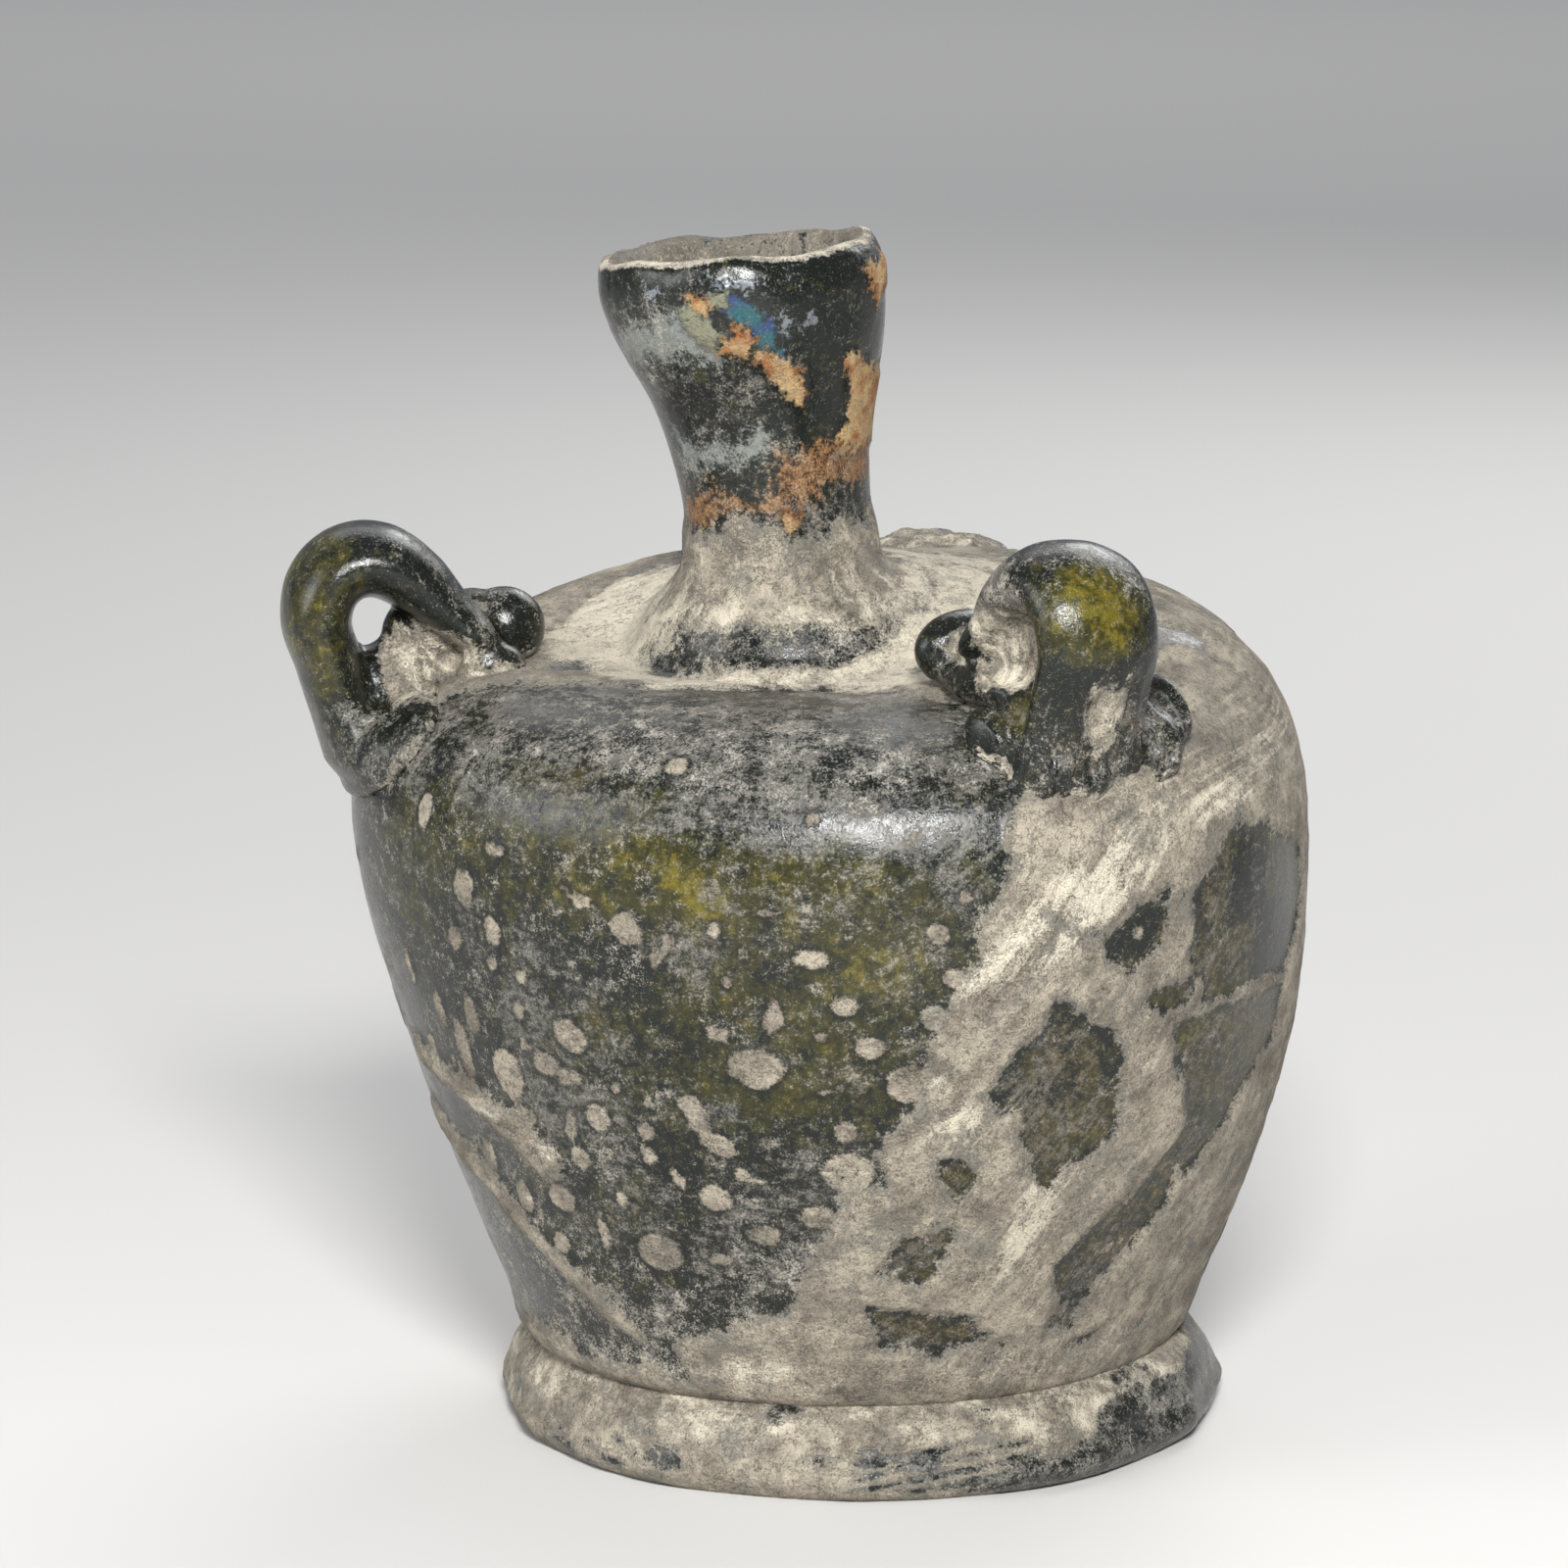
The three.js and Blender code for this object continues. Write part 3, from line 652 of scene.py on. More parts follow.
def weathered(name):
    """Glass under its weathering: film, dust, soil in pits, crust, and the neck's coloured layers."""
    looks = Looks(name)
    tones = shared_tones(looks)
    base, grey = glass_layer(looks, tones)
    base, stained, flaked, silver_and_highlight = neck_layers(looks, tones, base)
    base, veil = dust_layer(looks, tones, base)
    base, thin, thick = soil_layers(looks, tones, base)
    shader = looks.shader.inputs
    looks.feed(shader["Base Color"], speckled(looks, tones, base))
    shader["Specular IOR Level"].default_value = 0.42

    matt = looks.math("MAXIMUM", thick, flaked)
    rough = looks.between(grey, 0.14, 0.45)
    rough = looks.between(looks.times(veil, 0.8), rough, 0.6)
    rough = looks.between(stained, rough, 0.45)
    # The silvery flecks, partly painted highlights, are smoother and partly metallic
    rough = looks.between(silver_and_highlight, rough, 0.25)
    rough = looks.between(looks.math("MAXIMUM", looks.times(thin, 0.8), matt), rough, 0.88)
    looks.feed(shader["Roughness"], rough)
    bare = looks.math("SUBTRACT", 1, matt)
    looks.feed(shader["Metallic"], looks.times(looks.times(silver_and_highlight, 0.7), bare))

    gritty = looks.add((tones.fine, 0.4), (tones.grain, 0.25), (tones.streaks, 0.2), (tones.patchy, 0.35),
                       (tones.ridges, 0.4))
    gritty = looks.math("SUBTRACT", gritty, looks.times(tones.cracks, 0.5))
    height = looks.times(gritty, looks.between(matt, 0.12, 1.5))
    height = looks.add(height, (veil, 0.3), (thin, 0.35), (matt, 0.6))
    looks.feed(shader["Normal"], looks.bump(height, RELIEF))
    return looks.material


def settle(piece, nodes):
    """Puts a finished piece in the place of its CAD nodes."""
    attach(piece, ROOT)
    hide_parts(*nodes)


# Signed distances from marks on the body's skin, in millimetres, positive inside a mark.
# A mark's place is a turn and a level: a height on the side and neck, a radius on the top.

SIDE, NECK, TOP = range(3)


class Skin:
    """Where each point of the body's outer skin lies: turn, path along the profile, radius, height."""

    def __init__(self, rows, columns):
        path = path_along(rows)
        side = (rows[:, 1] >= JOIN_Z) & (rows[:, 0] > GROOVE_R + 1)
        neck = (rows[:, 0] < COLLAR_R) & (rows[:, 1] > GROOVE_Z + 1)
        top = ((rows[:, 1] >= BELLY_Z) & (rows[:, 0] > NECK_R + 0.3) & ~(rows[:, 1] > NECK_HIGH_Z))
        self.ways = [
            (rows[side, 1], path[side], rows[side, 0]),
            (rows[neck, 1], path[neck], rows[neck, 0]),
            (rows[top, 0][::-1], path[top][::-1], rows[top, 0][::-1]),
        ]
        turn = (np.degrees(columns) + 90 + 180) % 360 - 180
        self.turn = np.tile(turn, len(rows))
        self.path = np.repeat(path, len(columns))
        self.radius = np.repeat(rows[:, 0], len(columns))
        self.height = np.repeat(rows[:, 1], len(columns))

    def at(self, level, way=SIDE):
        levels, paths, radii = self.ways[way]
        return np.interp(level, levels, paths), np.interp(level, levels, radii)

    def flat(self, turn, level, way=SIDE):
        """Every point's place across and up from a middle, as if the skin lay flat there."""
        path, radius = self.at(level, way)
        off = (self.turn - turn + 180) % 360 - 180
        return np.radians(off) * radius, self.path - path

    def oval(self, turn, level, wide, tall, tilt=0, way=SIDE):
        across, up = self.flat(turn, level, way)
        c, s = math.cos(math.radians(tilt)), math.sin(math.radians(tilt))
        x = (c * across + s * up) * 2 / wide
        y = (c * up - s * across) * 2 / tall
        return (1 - np.hypot(x, y)) * min(wide, tall) / 2

    def marked(self, places, way):
        """The places of an outline's corners, and of every point, on the skin laid flat."""
        turn = sum(place[0] for place in places) / len(places)
        level = sum(place[1] for place in places) / len(places)
        middle, _ = self.at(level, way)
        corners = [(math.radians(t - turn) * self.at(v, way)[1], self.at(v, way)[0] - middle)
                   for t, v in places]
        off = np.radians((self.turn - turn + 180) % 360 - 180)
        return corners, off * self.radius, self.path - middle

    def stroke(self, places, wide, way=SIDE):
        """A band that runs through places, with its width at each."""
        corners, x, y = self.marked(places, way)
        best = np.full(len(x), 1e3)
        for (x0, y0), (x1, y1), w0, w1 in zip(corners, corners[1:], wide, wide[1:]):
            t, away = along_edge(x, y, x0, y0, x1, y1)
            best = np.minimum(best, away - mix(w0, w1, t) / 2)
        return -best

    def patch(self, places, way=SIDE):
        """A patch with corners at places."""
        corners, x, y = self.marked(places, way)
        best = np.full(len(x), 1e3)
        inside = np.zeros(len(x), bool)
        for (x0, y0), (x1, y1) in zip(corners, corners[1:] + corners[:1]):
            best = np.minimum(best, along_edge(x, y, x0, y0, x1, y1)[1])
            if y0 != y1:
                crossed = ((y0 > y) != (y1 > y)) & (x < (x1 - x0) * (y - y0) / (y1 - y0) + x0)
                inside ^= crossed
        return np.where(inside, best, -best)


def along_edge(x, y, x0, y0, x1, y1):
    """How far along an edge each point lies, from 0 to 1, and its distance from the edge."""
    long = (x1 - x0) ** 2 + (y1 - y0) ** 2
    t = np.clip(((x - x0) * (x1 - x0) + (y - y0) * (y1 - y0)) / long, 0, 1)
    return t, np.hypot(x - x0 - t * (x1 - x0), y - y0 - t * (y1 - y0))


def union(*fields):
    return np.maximum.reduce(fields)


def soft(field, edge):
    """A mark's distance field as a share from 0 to 1, with an edge of that width."""
    return smooth(-edge / 2, edge / 2, field)


# Marks on the side, read off the photograph. Ovals are turn, height, width, height, tilt.

BLOTS = (
    (-49, 30, 3, 4), (-57, 31, 1.7, 5), (-35, 28, 2.1, 2.1), (-18, 27, 3, 1.6, -25),
    (-19, 22.8, 2.7, 2.2), (-5, 21.8, 3.1, 2), (-12.5, 20.2, 2.6, 1.6),
    (-44, 21, 2.6, 2.3), (-46.5, 17.3, 1.8, 2), (-58, 23, 1.5, 2.5), (-52, 20.3, 1.7, 2.6),
    (-39, 24.6, 1.8, 1.8), (-37, 34, 2.9, 2.4, -35), (-42, 31.5, 2.4, 1.8), (-37.5, 19, 1, 3),
    (-47.5, 38.5, 1.2, 1.2), (-43, 37.8, 1.1, 1.1), (-53.5, 39.8, 1.5, 1.7), (-46.5, 41, 1.6, 2.1),
    (-50.5, 43.7, 2, 2.8), (-15.5, 43, 1.1, 1.1), (-4, 41.2, 2.7, 1.4), (-0.5, 37.8, 2.1, 1.5),
    (2, 34.8, 2.3, 1.7), (-3.5, 51, 1.5, 1.1, 25), (-21.5, 54, 1.8, 1.7, 30), (-58, 48.7, 1.5, 2.7),
    (-31.5, 30.5, 0.8, 0.8), (10.5, 43, 1.6, 1.6), (12.5, 39.7, 1.9, 1.6), (24.5, 34.9, 0.8, 0.8),
    (34.8, 42.2, 1.1, 1.2), (-28, 27.5, 1.5, 1.3), (-1.5, 28.5, 1.7, 1.7), (-60.5, 33.5, 1.3, 3.4),
    (-44.5, 35.3, 1, 1.6), (-53.5, 34, 1.3, 3.2), (-66, 36, 1, 3),
)
RINGED_BLOTS = (
    (-28.5, 18, 3.7, 3), (-12, 33, 4.3, 3), (-1, 25.3, 3.9, 3.2), (6.3, 32, 3.1, 2.9),
    (9.8, 37, 2.1, 2), (14, 45.5, 1.1, 1.1),
)
WORN_BLOTS = (
    (-26.5, 42.5, 3, 3.3, 40), (-23.5, 40.3, 1.8, 2.6), (-33, 44.4, 3.4, 1.4, -20),
    (-21.5, 41.6, 1.2, 1.6), (-12, 41.3, 1.1, 1.3), (-9.5, 37, 2, 3), (-3.5, 35.6, 3, 1.2, -8),
    (-3.5, 31.5, 3, 1.1, 15), (-45, 47, 2, 1.6), (-45, 32.7, 1.6, 1.4), (-21, 29.5, 2.6, 3.6, 30),
    (-7.5, 24.6, 1, 3, -40), (-13, 24.5, 4, 1.6, -15), (-28, 25.6, 2, 2.4, 25), (-24, 24, 1.4, 4, 35),
    (-36, 39.8, 3.6, 0.9, -28), (-38, 30.8, 2.6, 1.8), (-66, 30, 2, 2.6), (-47, 27, 3.4, 1.6, -30),
    (-17, 35.5, 2.2, 1.6), (-14.5, 39.3, 1.6, 1.2), (0.5, 42.8, 0.8, 0.8), (-9, 44.3, 1.2, 0.7),
    (-19, 17.8, 3, 1.2), (-33, 22, 1.6, 2.6, 20), (-39.5, 27, 1.6, 2.4),
)

# Pits scattered by chance over the side that doesn't show
HIDDEN_BLOTS, BLOT_SEED = 70, 11
HIDDEN_TURNS, HIDDEN_HEIGHTS, BLOT_WIDTHS = (70, 285), (11, 45), (1, 3.6)

# The soil crust down the right side, the bare windows in it, and the darkest parts of those
CRUST_EDGE = (
    (19, 49.5), (19.5, 47.8), (17.5, 45.6), (15.5, 43.2), (15, 41), (13, 39.3), (11.5, 37), (9.5, 34.5),
    (7.5, 31), (4.5, 29), (3, 26.8), (3.5, 24.5), (-2, 23.5), (-5, 19), (-11, 14), (-30, 10.5),
    (-30, 5), (120, 5), (120, 56), (26, 56),
)
WINDOWS = (
    ((25, 37.3), (28.5, 36), (32, 35.2), (33.8, 31.3), (34.8, 27.5), (32, 26), (29, 25.5), (26, 23.3),
     (23.5, 24.5), (20.8, 27.5), (20, 29.6), (15.8, 31), (17.5, 32.3), (20.5, 34.2)),
    ((10.5, 26), (13.5, 26.2), (15.5, 24.7), (13.5, 22.8), (11.5, 23.3)),
    ((3, 17.6), (6.5, 20), (10, 20.6), (13.5, 20.7), (12.5, 19), (9.8, 16.5), (6, 17)),
    ((2, 14.5), (9, 14), (17, 13.2), (20, 12), (12, 10.8), (4, 11.5)),
    ((38.3, 44.6), (34.5, 43.6), (31, 42), (30.5, 41), (33.7, 39.3), (36.8, 40), (39.3, 42)),
    ((49.5, 48), (58, 47.5), (70, 45), (72, 41), (66, 36.5), (57.5, 36.4), (49.5, 36.2), (45, 35.8),
     (46, 37), (44.5, 38.5), (42, 39.8), (44, 41.5), (42.5, 43.8), (46, 46)),
    ((41.5, 34.7), (49, 35.5), (65, 35), (66, 31.5), (60, 28.5), (56, 25), (50.5, 22.3), (48, 23),
     (47.5, 26.8), (45, 29.8), (42, 32.3)),
    ((48.5, 27), (41, 21.5), (33.5, 19.3), (30, 16.7), (32.5, 13.5), (38, 14.5), (43.5, 17.3),
     (48.5, 20.3)),
    ((31, 12.8), (36, 13.1), (36, 11.6), (31, 11.4)),
    ((36, 9.8), (42, 10.4), (42, 8.4), (37, 8.2)),
    ((36, 36.8), (38, 37.6), (44, 37.9), (43.5, 36.3), (39, 35.8)),
)
DARK_PARTS = (
    ((27.5, 36.8), (32, 35.4), (34.2, 31.3), (32, 30.5), (30.5, 33)),
    ((50, 47), (57, 47.2), (57, 42), (50, 41.5)),
    ((56, 42), (68, 42), (66, 37), (55, 37)),
    ((34, 43.6), (38.5, 43.6), (35, 39.6), (31.5, 41)),
)
# A streak of glow painted where light comes through the olive glass, as turn, height
PAINTED_OLIVE_STREAK = ((-27, 47.6), (-22, 47), (-17, 44.3))
# Where light comes through the olive glass, painted into its colour as a glow: turn, height, width, height,
# tilt, strength
PAINTED_OLIVE_LIGHT = (
    (-26, 46, 38, 10, -6, 0.85), (-46, 46.5, 26, 9, -8, 0.8), (0, 43, 20, 16, 0, 0.8),
    (-8, 36, 22, 18, 0, 0.75), (-28, 32, 18, 14, 0, 0.45), (-62, 44, 10, 12, 0, 0.6),
    (-34, 52, 22, 6, -10, 0.5), (-38, 20, 20, 14, 0, 0.35),
    (-27, 46.5, 22, 6, -8, 0.45), (-57, 47.5, 5, 3, -20, 0.85), (-44, 44.8, 5, 3.4, -25, 0.85),
    (-34, 53.5, 6, 2.6, -10, 0.45), (-33, 35, 2.2, 3, 20, 0.6), (-14, 36.5, 2, 3, 0, 0.7),
    (-3.5, 38.6, 4, 2.2, 20, 0.9), (-8, 42, 3.4, 2.6, 0, 0.6), (3, 41.6, 7.5, 3, 0, 0.95),
    (-22, 31.5, 9, 3, -10, 0.5), (-18, 31, 4, 2.4, 0, 0.7), (-42, 24.6, 1.4, 1.6, 0, 0.7),
    (-38, 15.5, 2.4, 2.4, 20, 0.6), (14.5, 48.2, 1.5, 3.1, 0, 0.9), (-1, 49, 3.4, 1.8, 0, 0.6),
    (4, 46.8, 5, 2.6, -10, 0.5), (-7, 47.5, 8, 3, 0, 0.45), (-2.5, 38, 1.6, 3, 0, 0.8),
    (6, 36, 3, 2.6, 0, 0.45), (-2, 29, 2, 2, 0, 0.5), (-62, 45, 3, 5, -10, 0.5), (-46, 22, 4, 1.2, 0, 0.5),
    (38, 19, 3.2, 9, -35, 0.55), (33, 15, 3, 3, 0, 0.5), (8, 18.6, 5, 2.6, 0, 0.35),
    (27, 24.6, 3, 2.6, 0, 0.4), (-6, 33, 14, 12, 0, 0.3), (-50, 35, 16, 16, 0, 0.15),
)
BROWN = (
    (24, 31.5, 8, 9, 0, 0.8), (54, 31, 10, 10, 0, 0.9), (47, 41, 3, 7, 10, 0.6), (13, 24.6, 3, 3, 0, 0.9),
    (10, 13, 9, 3, 0, 0.8), (31, 27, 4, 4, 0, 0.7), (46, 24, 5, 5, 0, 0.5), (-33, 36, 3, 4, 0, 0.5),
    (-2, 53.5, 30, 3, 0, 0.4), (20, 53, 14, 4, 0, 0.5),
)

# The palest parts of the crust, and hazy parts of the glass
PALE = (
    (31.5, 46.3, 17, 4.6, 42, 1), (22, 42.4, 13, 5, 45, 0.9), (16, 39.2, 8, 4, 50, 0.8),
    (38, 34, 3, 9, 0, 0.6), (24, 20.7, 4, 11, -15, 0.7), (12, 30, 4, 7, 35, 0.6),
    (55, 51, 22, 3, 10, 0.6), (3, 9, 40, 3, 0, 0.3), (-54, 26, 16, 2, -12, 0.6),
)
HAZE = (
    (-38, 34, 14, 17, 0, 0.5), (-14, 21, 34, 10, 0, 0.5), (-48, 24, 14, 12, 0, 0.4), (-19, 41, 8, 6, 0, 0.5),
    (-10, 35, 5, 5, 0, 0.5), (-20, 29, 8, 5, 0, 0.4), (8, 40, 5, 12, 10, 0.15), (12, 47, 8, 5, 0, 0.4),
)

# Marks on the neck, as turn, height
NECK_TAN = (
    ((-8, 82.3), (-3, 82.4), (1, 81.6), (1.5, 80), (7, 79.9), (14, 79.2), (22, 78.6), (24, 76.6),
     (22, 75.6), (16, 75.8), (10, 77.2), (3, 78.4), (-4, 79.3), (-13, 79.9), (-12, 80.9), (-7, 81)),
    ((44, 79), (54, 79), (70, 78), (88, 77.4), (86, 72.5), (47, 72.6), (43.5, 73.5), (48, 75.3),
     (46, 77)),
    ((85, 86), (68, 85.7), (59, 85.3), (60, 83.2), (68, 81.9), (75, 82.8), (86, 83)),
    ((-21, 84.2), (-15, 84), (-13, 82.9), (-17, 82.8)),
    ((4, 68), (14, 68.1), (14, 66.4), (5, 66.3)),
)
NECK_FLAKE = (
    ((-27, 83.6), (-20, 84), (-15, 82.6), (-11, 81.6), (-13, 80.4), (-22, 80.6), (-27, 82)),
    ((-13, 84.3), (-5, 84.3), (-6, 83.2), (-12, 83.3)),
)
NECK_SMEAR = (
    ((-78, 82), (-45, 83), (-28, 84.3), (-12, 83), (-8, 80.6), (-14, 78.8), (-30, 79.2), (-60, 78),
     (-80, 79)),
    ((-62, 74.6), (-40, 73.6), (-20, 73.4), (-2, 75.4), (10, 74), (4, 71.6), (-30, 70.6), (-64, 70.6)),
    ((-60, 66), (-20, 66.6), (30, 66), (40, 64.6), (-10, 64), (-60, 64.4)),
)
NECK_RUST = (
    ((2, 72.6), (30, 72.8), (44, 73), (60, 73.5), (88, 73), (88, 70.2), (60, 70), (30, 70.4), (28, 69),
     (10, 68.8), (-3, 67.6), (-30, 67.6), (-50, 66.4), (-72, 66.6), (-66, 68.6), (-30, 69.3), (-5, 69.4)),
    ((-38, 70.6), (-30, 71), (-30, 69.8), (-40, 69.6)),
)
NECK_BLACK = (
    ((-38, 77.7), (-22, 77.2), (-10, 75), (-13, 73.2), (-22, 73.8), (-31, 74.6), (-43, 75), (-58, 74),
     (-66, 75.8), (-53, 77)),
    ((-14, 83.2), (-8, 83), (-9, 81.5), (-14, 81.5)),
    ((-80, 63.6), (-55, 63.6), (-50, 61.6), (-72, 61.4)),
)
NECK_CLEAR = (
    ((-20, 87.5), (-20, 84.6), (-8, 84.2), (1, 82.2), (3, 80.3), (12, 79.6), (24, 79.3), (24, 76.4),
     (15, 75.3), (16.5, 73.3), (27, 72.2), (38, 72.4), (44, 73), (45, 79), (60, 79.4), (95, 78),
     (150, 79), (170, 83), (150, 87.5)),
    ((-95, 87), (-20, 87), (-20, 84.5), (-95, 84.3)),
)
IRIS = ((-2, 83, 3, 2.2, -35), (2.4, 82.2, 1.5, 2.6, -20), (7, 81.3, 1.8, 2.8, -12), (12, 79.8, 1, 0.8, 0))
# Silvery flecks, partly silver weathering and partly painted highlights: turn, height, width, height
SILVER_AND_HIGHLIGHTS = (
    (-9, 85, 2.4, 1.8), (5, 84.7, 2.2, 0.9), (15.5, 82, 1.3, 1.6), (-40, 84.6, 2, 1.4),
    (26, 81.8, 1.4, 1),
)

# Marks on the shoulder, as turn, radius: where the soil is thin, and two bare ovals in the groove
BARE_TOP = (
    (-68, 33), (-66, 26), (-54, 21), (-40, 18), (-15, 14.4), (8, 13.8), (22, 16), (27, 24), (22, 31),
    (20, 36), (-66, 36),
)
BARE_GROOVE = ((-4, 10.4, 20, 3.4), (-50, 11.2, 9, 2))

# Bands of soil low on the left side, as turn, height, with their widths
LEFT_BAND = ((-72, 29), (-62, 28.2), (-55, 27), (-50, 25.8), (-45.5, 23.6)), (2.4, 2, 2.4, 3.2, 3)
LOW_BAND = ((-75, 24), (-60, 20.5), (-48, 15.5), (-36, 11)), (3, 2.6, 2.2, 1.6)


def fine_body():
    """The vessel's fine grid: outer rows from under the base to the rim, then the inside."""
    outer_keys = outer_profile()
    inner_keys = inner_profile()
    base_gaps = 5
    outer = curved(outer_keys, [2.5] * base_gaps + [ROW] * (len(outer_keys) - base_gaps))
    rim_gap = [outer_keys[-1], *inner_keys]
    inner = curved(rim_gap, [ROW, ROW] + [2.6] * len(inner_keys))[1:]
    columns = np.arange(AROUND) / AROUND * math.tau
    return outer, inner, columns


def laid_out(rows, columns):
    r, z, heave = (rows[:, k][:, None] for k in range(3))
    return body_point(r, z, columns[None, :], heave)


def vessel():
    outer, inner, columns = fine_body()
    outside = laid_out(outer, columns)
    inside = laid_out(inner, columns)
    skin = Skin(outer, columns)
    normals = grid_normals(outside)
    flat = outside.reshape(-1, 3)
    fields, relief = body_fields(skin, flat)
    outside = outside + normals * relief.reshape(len(outer), AROUND, 1)
    points = np.concatenate([outside.reshape(-1, 3), inside.reshape(-1, 3)])
    rows = len(outer) + len(inner)
    made = mesh_object("vessel_glass", points, capped_faces(rows, AROUND))
    hidden = len(inner) * AROUND
    paint(made, {name: np.concatenate([fields[name], np.full(hidden, INSIDE.get(name, -2))])
                 for name in FIELDS})
    made.data.materials.append(weathered("weathered glass"))
    climbed = climb(skin.turn) * smooth(57, 49, skin.height)
    path = np.concatenate([skin.path - climbed, np.repeat(path_along(inner), AROUND)])
    paint_brush(made, np.tile(np.degrees(columns), rows), path)
    settle(made, ["vessel"])


def climb(turn):
    """How far the streaks have climbed at a turn: up across the front right, and back down behind."""
    behind = 0.5 * smooth(75, 180, turn) + 0.5 * smooth(-180, -70, turn)
    return STREAK_CLIMB * (smooth(0, 62, turn) - behind + 0.5)


# Fields on the pieces' skins. DEPTHS are distances into a mark in millimetres, positive inside, and
# SHARES are strengths, mostly from 0 to 1. INSIDE is what the vessel's inner side has.

DEPTHS = ("crust", "blot", "tan", "flake", "smear", "rust", "black", "iris", "silver_and_highlight")
SHARES = ("film", "dust", "olive", "brown", "pale")
FIELDS = DEPTHS + SHARES
INSIDE = {"crust": 0.1, "film": 0.6, "dust": 0.6, "rust": 0.4}


def spots(skin, marks, way=SIDE):
    return union(*(skin.oval(*mark, way=way) for mark in marks))


def patches(skin, marks, way=SIDE):
    return union(*(skin.patch(mark, way) for mark in marks))


def glows(skin, marks):
    """The strongest share of ovals that fade towards their edges."""
    share = np.zeros(len(skin.turn))
    for turn, height, wide, tall, tilt, strength in marks:
        field = skin.oval(turn, height, wide, tall, tilt)
        share = np.maximum(share, strength * smooth(-0.3, 0.5, field / (min(wide, tall) / 2)))
    return share


def blot_field(skin, points):
    """Pits filled with soil: whole ones, ones with a worn middle, and worn patches."""
    ragged = noise(points, 0.9, 41)
    whole = spots(skin, BLOTS)
    rings = spots(skin, RINGED_BLOTS)
    worn_middle = rings - 1.1 * smooth(0.5, 1.1, rings) * (0.4 + noise(points, 1.1, 43))
    worn = spots(skin, WORN_BLOTS) - 0.25 + 0.5 * ragged
    hidden = hidden_blots(skin)
    return union(whole + 0.14 * ragged, worn_middle + 0.14 * ragged, worn, hidden + 0.16 * ragged)


def hidden_blots(skin):
    """Pits like those of the front, scattered over the sides that the photograph doesn't show."""
    draw = np.random.default_rng(BLOT_SEED)
    marks = []
    for _ in range(HIDDEN_BLOTS):
        wide = mix(*BLOT_WIDTHS, draw.random() ** 2)
        marks.append((mix(*HIDDEN_TURNS, draw.random()), mix(*HIDDEN_HEIGHTS, draw.random()), wide,
                      wide * (0.7 + 0.5 * draw.random()), 90 * draw.random()))
    return spots(skin, marks)


def side_crust(skin, points):
    """Soil on the side: the broad crust with its windows, two bands at the left, and the foot's rim."""
    windows = patches(skin, WINDOWS) + 0.3 * layered(points, 1.8, 51)
    depth = 0.75 + 1.1 * layered(points * (1, 1, 1.4), 5, 55, 4)
    front = np.minimum(np.minimum(skin.patch(CRUST_EDGE), depth), -1.1 * windows - 0.25)
    bands = union(skin.stroke(*LEFT_BAND), skin.stroke(*LOW_BAND))
    base = JOIN_Z + 2.2 + 1.2 * noise(points, 7, 57) - skin.height
    behind = smooth(95, 130, np.abs(skin.turn + 8)) * (layered(points, 13, 61, 4) * 6 + 1.2) - 0.8
    edge = 0.45 * layered(points, 2.4, 53)
    return union(front, bands, np.minimum(base, 1.5), behind) + edge


def top_crust(skin, points):
    """Soil on the shoulder: thick behind and at the right, in the groove, and round the handles."""
    swept = layered(points * (1, 1, 2), 4.5, 71)
    bare = union(skin.patch(BARE_TOP, TOP), 1.7 * spots(skin, BARE_GROOVE, TOP))
    level = np.minimum(0.8, -0.7 * bare)
    level = union(level, 0.9 - 1.4 * np.abs(skin.radius - GROOVE_R - 0.7))
    patchy = 1.8 * smooth(0.02, 0.55, layered(points * (1, 1, 2), 5, 75, 4))
    return level + 0.5 * swept - patchy * smooth(14, 17, skin.radius)


def neck_crust(skin, points):
    """Soil round the foot of the neck, along the lip and in the mouth."""
    base = 67 + 0.9 * noise(points, 4, 81) - skin.height
    lip = skin.height - RIM_TOP_Z + 0.2 + 0.25 * layered(points, 1.5, 85)
    return union(np.minimum(base * 0.5, 0.55) + 0.6 * layered(points, 2.4, 83), lip * 4)


